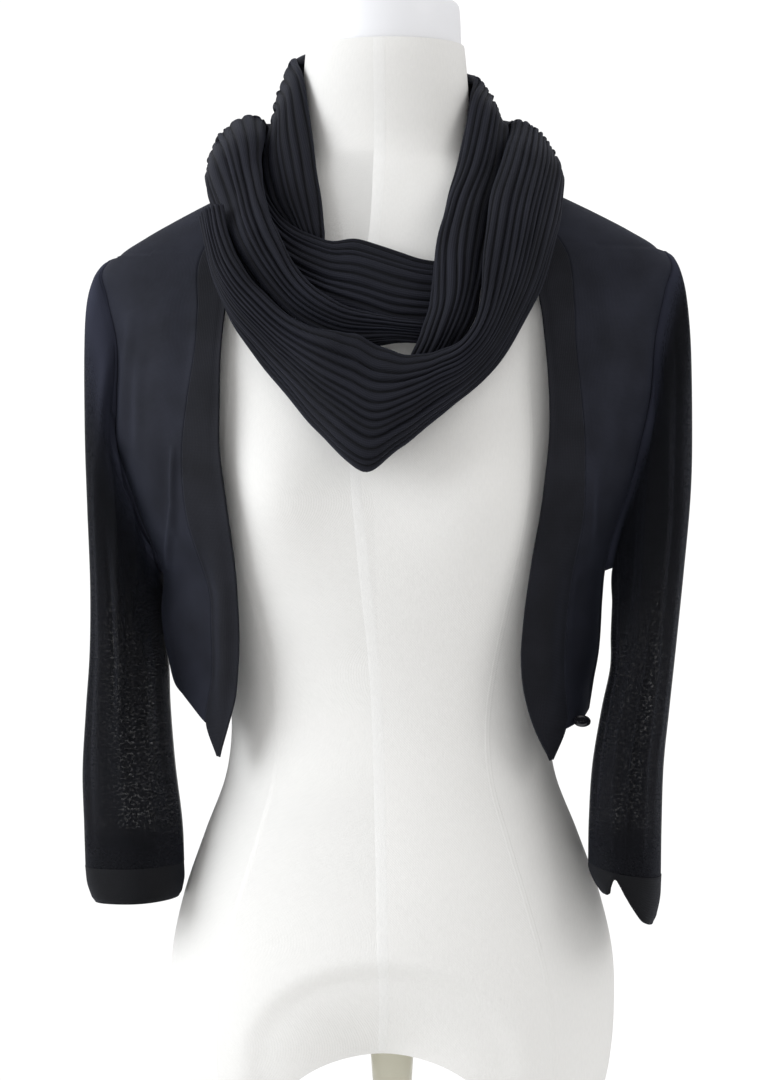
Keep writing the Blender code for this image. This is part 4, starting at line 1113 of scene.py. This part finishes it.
def even_angles(half, rise, count):
    """Angles that part the half ellipse of a section into even steps along the cloth."""
    fine = np.linspace(0, math.pi, 65)
    points = np.outer(-np.cos(fine), half) + np.outer(np.sin(fine), rise)
    along = np.concatenate([[0], np.cumsum(np.linalg.norm(np.diff(points, axis=0), axis=1))])
    return np.interp(np.linspace(0, along[-1], count), along, fine)


def rib_relief(share, along, ribs, seed):
    """Height of the ribs across and along a stretch, and 0 in a groove to 1 on a crest."""
    random = np.random.default_rng(seed)
    phases = random.uniform(0, math.tau, 5)
    edges = np.concatenate([[0], np.cumsum(random.uniform(0.6, 1.5, ribs))])
    wander = (np.sin(along / 23 + phases[0] + 5 * share) + np.sin(along / 41 + phases[1] + 9 * share)
              + np.sin(along / 67 + phases[2])) / 3 * np.sin(np.pi * share)
    place = np.interp(share + RIB_WANDER * wander, edges / edges[-1], np.arange(ribs + 1))
    number = np.clip(np.floor(place).astype(int), 0, ribs - 1)
    across = 2 * (place - number) - 1
    tall = random.uniform(0.6, 1.25, ribs)[number]
    swell = 1 + 0.22 * np.sin(along / 19 + number * 2.1 + phases[3])
    nearest = np.rint(place).astype(int)
    sunk = random.choice([0.0, 0.4, 0.9, 1.8], ribs + 1)[nearest]
    fold = sunk * (0.6 + 0.4 * np.sin(along / 37 + nearest * 1.3 + phases[4]))
    height = RIB_HEIGHT * (1 - np.abs(across) ** 2.8) * tall * swell
    groove = fold * np.exp(-((place - nearest) / 0.3) ** 2) * np.sin(np.pi * share) ** 0.3
    # the second number is larger on taller ribs; the finish turns it into painted groove shade and painted
    # crest highlight
    return height - groove, (1 - np.abs(across) ** 2.4) * (0.55 + 0.45 * tall)


# %% [markdown]
# ## The two walls of a roll and how they are closed
# A roll has a ribbed outer wall and a plain inner one, so a Solidify modifier would not do. The two
# are drawn from the same sections, joined along both edges by a strip of quads, and the two open ends
# are filled at last.

# %% Rolls of rib knit
def roll_walls(rows, columns, seed):
    """The outer and inner wall of a roll, before its ribs are raised."""
    crowns = np.array([row[1] for row in rows], dtype=float)
    count = int(np.linalg.norm(np.diff(crowns, axis=0), axis=1).sum() / ROW_STEP) + 2
    outer, inner = [], []
    for place, (first, crown, last) in zip(np.arange(count) * ROW_STEP, through(rows, count)):
        middle, half = (first + last) / 2, (last - first) / 2
        half = half * (1 + RIM_WAVE * (np.sin(place / 5.3 + seed) + np.sin(place / 9.1 + 2 * seed)) / 2)
        rise = crown - middle
        turn = even_angles(half, rise, columns)[:, None]
        outer.append(middle - half * np.cos(turn) + rise * np.sin(turn))
        thin_half, thin_rise = half - unit(half) * RIB_WALL, rise - unit(rise) * RIB_WALL
        turn = even_angles(thin_half, thin_rise, INNER_COLUMNS)[:, None]
        inner.append(middle - thin_half * np.cos(turn) + thin_rise * np.sin(turn))
    return np.array(outer), np.array(inner)


def ribbed(outer, ribs, seed):
    """The outer wall with its ribs raised, and the crest number of each of its points."""
    across, along = cloth_map(outer)
    shares = np.linspace(0, 1, outer.shape[1])[None, :]
    normal = grid_normals(outer)
    middle = (outer[:, :1] + outer[:, -1:]) / 2
    normal *= np.sign(np.sum(normal * (outer - middle), axis=-1).mean())
    lift, crest = rib_relief(shares + 0 * along, along, ribs, seed)
    edge = np.clip(np.minimum(shares, 1 - shares) * ribs * 2, 0, 1)
    return outer + normal * (lift * edge - RIB_SUNK)[..., None], crest


def rim_quads(rows, columns):
    """Quads that join the outer wall to the inner one along both edges of a roll."""
    start = rows * columns
    r = np.arange(rows - 1)
    rims = []
    for outer_column, inner_column, turn in ((0, 0, 1), (columns - 1, INNER_COLUMNS - 1, -1)):
        rims.append(np.stack([r * columns + outer_column, (r + 1) * columns + outer_column,
                              start + (r + 1) * INNER_COLUMNS + inner_column,
                              start + r * INNER_COLUMNS + inner_column], axis=1)[:, ::turn])
    return np.concatenate(rims)


def close_ends(made):
    """Fills the two open ends of a roll and turns all its faces outwards."""
    work = bmesh.new()
    work.from_mesh(made.data)
    loose = [edge for edge in work.edges if edge.is_boundary]
    bmesh.ops.holes_fill(work, edges=loose, sides=0)
    bmesh.ops.recalc_face_normals(work, faces=work.faces)
    work.to_mesh(made.data)
    work.free()
    made.data.shade_smooth()


def roll(name, node, rows, ribs, seed):
    """A stretch of the collar as a ribbed wall with a plain inside."""
    plain, inner = roll_walls(rows, ribs * RIB_POINTS + 1, seed)
    outer, crest = ribbed(plain, ribs, seed)
    count, columns = plain.shape[:2]
    faces, corners = mapped_quads(plain)
    inner_faces, inner_corners = mapped_quads(inner)
    rim_corners = np.repeat(cloth_map(plain)[1][:-1, :1], 8, axis=1).reshape(-1, 2)
    points = np.concatenate([outer.reshape(-1, 3), inner.reshape(-1, 3)])
    all_faces = np.concatenate([faces, inner_faces[:, ::-1] + count * columns, rim_quads(count, columns)])
    all_corners = np.concatenate([corners.reshape(-1, 2), inner_corners[:, ::-1].reshape(-1, 2),
                                  rim_corners, rim_corners])
    made = piece(name, points, all_faces, all_corners, RIB)
    # the crest number drives the painted shade in the grooves and the painted highlight on the ribs; the
    # plain inner wall gets the middle value
    paint(made, "crest", np.concatenate([crest.ravel(), np.full(inner[..., 0].size, 0.5)]))
    close_ends(made)
    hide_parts(node)


roll("collar_inner_left_roll", "collar_inner_left", INNER_LEFT, 8, 1)
roll("collar_back_inner_roll", "collar_back_inner", BACK_INNER, 8, 2)
roll("collar_inner_right_roll", "collar_inner_right", INNER_RIGHT, 9, 3)
roll("collar_upper_front_roll", "collar_upper_front", UPPER_FRONT, 9, 4)
roll("collar_outer_left_roll", "collar_outer_left", OUTER_LEFT, 11, 5)
roll("collar_back_outer_roll", "collar_back_outer", BACK_OUTER, 12, 6)
roll("collar_front_drape_roll", "collar_front_drape", FRONT_DRAPE, 14, 7)

# %% [markdown]
# ## The button
# One small button is sewn close to the hem of the front on the viewer's right. It hangs by its thread
# with its face tipped up, so its middle has to stand further off the cloth than if it lay flat: the
# nearest point of its rim then just clears the cloth.

# %% Where the button hangs
BUTTON_RADIUS, BUTTON_THICK, BUTTON_SHANK, BUTTON_SIDES = 6, 2.4, 0.7, 48
BUTTON_X, BUTTON_Z = 129, 444
BUTTON_FACES = Vector((0.08, -0.55, 0.83)).normalized()     # it hangs with its face tipped up
here, beside, below = (cloth_surface(RIGHT, np.array(BUTTON_X + x), np.array(BUTTON_Z + z))
                       for x, z in ((0.0, 0.0), (1.0, 0.0), (0.0, -1.0)))
out = Vector(np.cross(beside - here, below - here)).normalized()
if out.y > 0:
    out.negate()
tip = abs(BUTTON_FACES.dot(out))
reach = BUTTON_RADIUS * math.sqrt(1 - tip ** 2) + BUTTON_THICK / 2 * tip
print(f"the button's middle is {reach + BUTTON_SHANK:.1f} mm off the cloth")

# %% [markdown]
# ## The button's disc and its four holes
# The disc is turned like the stand's pieces, so the same function spins it, and the holes are then
# drilled in a ring. It is made lying flat at the origin, which keeps the drilling simple, and is moved
# to its place at the end.

# %% Button
# radius, height: the dished face, the raised rim and the rounded back
BUTTON_PROFILE = [(0, 0.7), (3.2, 0.7), (3.9, 0.9), (4.5, 1.2), (5.2, 1.2), (5.7, 0.9), (6, 0.4), (6, -0.4),
                  (5.6, -0.9), (4.6, -1.2), (0, -1.2)]
HOLES, HOLE_RADIUS, HOLE_RING, DRILL_LONG = 4, 0.75, 1.35, 6
button = piece("button_disc", *spun(BUTTON_PROFILE, BUTTON_SIDES), None, BUTTON)
for k in range(HOLES):
    angle = math.tau * (k + 0.5) / HOLES
    middle = (HOLE_RING * MM * math.cos(angle), HOLE_RING * MM * math.sin(angle), 0)
    bpy.ops.mesh.primitive_cylinder_add(vertices=16, radius=HOLE_RADIUS * MM, depth=DRILL_LONG * MM,
                                        location=middle)
    drill = bpy.context.object
    hole = button.modifiers.new("hole", "BOOLEAN")
    hole.operation = "DIFFERENCE"
    hole.object = drill
    bpy.context.view_layer.objects.active = button
    bpy.ops.object.modifier_apply(modifier="hole")
    bpy.data.objects.remove(drill)
button.data.set_sharp_from_angle(angle=math.radians(50))
place = (Vector(here) + out * (reach + BUTTON_SHANK)) * MM
turn = BUTTON_FACES.to_track_quat("Z", "Y").to_matrix().to_4x4()
button.data.transform(Matrix.Translation(place) @ turn)
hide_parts("button")
print("button:", len(button.data.polygons), "faces")

# %% [markdown]
# ## The floor
# The part stands on a plain pale disc, wide enough for its own soft shadow.

# %% Floor
FLOOR_RADIUS, FLOOR_TONE = 0.9, (0.95, 0.95, 0.95)
bpy.ops.mesh.primitive_circle_add(vertices=96, radius=FLOOR_RADIUS, fill_type="NGON", location=(0, 0, 0))
floor = bpy.context.object
floor.name = "floor"
pale, tree, shader = finish("pale floor", FLOOR_TONE, 0.9)
tree.links.new(mottled(tree, FLOOR_TONE, 0.01, 0.5), shader.inputs["Base Color"])
floor.data.materials.append(pale)
print("floor:", FLOOR_RADIUS * 2, "m across")

# %% [markdown]
# ## The light
# The photo is lit softly from the viewer's left against white. One large lamp stands for the window
# there, a small one fills the other side, and an even white sky does the rest. The sky is seen a little
# brighter than it shines, because the photo's backdrop was cut out to pure white.

# %% Light
scene = bpy.context.scene
sky = bpy.data.worlds.new("white sky")
sky.use_nodes = True
SEEN_WHITE, SKY_LIGHT = 1.06, 0.8
glow = sky.node_tree.nodes["Background"]
glow.inputs[0].default_value = (1.0, 1.0, 1.0, 1.0)
rays = sky.node_tree.nodes.new("ShaderNodeLightPath")
strength = sky.node_tree.nodes.new("ShaderNodeMapRange")
strength.inputs[3].default_value = SKY_LIGHT
strength.inputs[4].default_value = SEEN_WHITE
sky.node_tree.links.new(rays.outputs["Is Camera Ray"], strength.inputs[0])
sky.node_tree.links.new(strength.outputs[0], glow.inputs[1])
scene.world = sky
scene.view_settings.view_transform = "Standard"
LIT_POINT = (0, 0, 0.6)


def lamp(name, place, size, power, colour=(1, 1, 1)):
    made = bpy.data.objects.new(name, bpy.data.lights.new(name, "AREA"))
    made.data.energy, made.data.size, made.data.color = power, size, colour
    made.location = place
    made.rotation_euler = (Vector(LIT_POINT) - Vector(place)).to_track_quat("-Z", "Y").to_euler()
    scene.collection.objects.link(made)
    print(name, power, "W")


lamp("window", (-3.25, -1.35, 2.0), 2.8, 134, (0.94, 0.97, 1.0))
lamp("fill", (2.8, -1.2, 2.4), 1.6, 26)

# %% [markdown]
# ## The camera
# It stands two metres away and level with the middle of the picture, five degrees to one side, and
# leans by less than half a degree, as the photo does. The lens follows from the height that the
# picture has to cover, so it needs no guess.

# %% Camera
AXIS_HEIGHT, DISTANCE, TURN, LEAN = 0.5675, 2.0, math.radians(5), 0.007
PHOTO_ROWS, ROW_SIZE = 1080, 0.7         # what one row of the photo covers at the form's axis
camera = bpy.data.objects.new("camera", bpy.data.cameras.new("camera"))
camera.data.sensor_fit = "VERTICAL"
camera.data.sensor_height = 24
camera.data.lens = camera.data.sensor_height * DISTANCE / (PHOTO_ROWS * ROW_SIZE * MM)
stand_at = Matrix.Translation((DISTANCE * math.sin(TURN), -DISTANCE * math.cos(TURN), AXIS_HEIGHT))
camera.matrix_world = (stand_at @ Matrix.Rotation(TURN, 4, "Z") @ Matrix.Rotation(math.pi / 2, 4, "X")
                       @ Matrix.Rotation(-LEAN, 4, "Z"))
scene.collection.objects.link(camera)
scene.camera = camera
print(f"lens {camera.data.lens:.1f} mm")
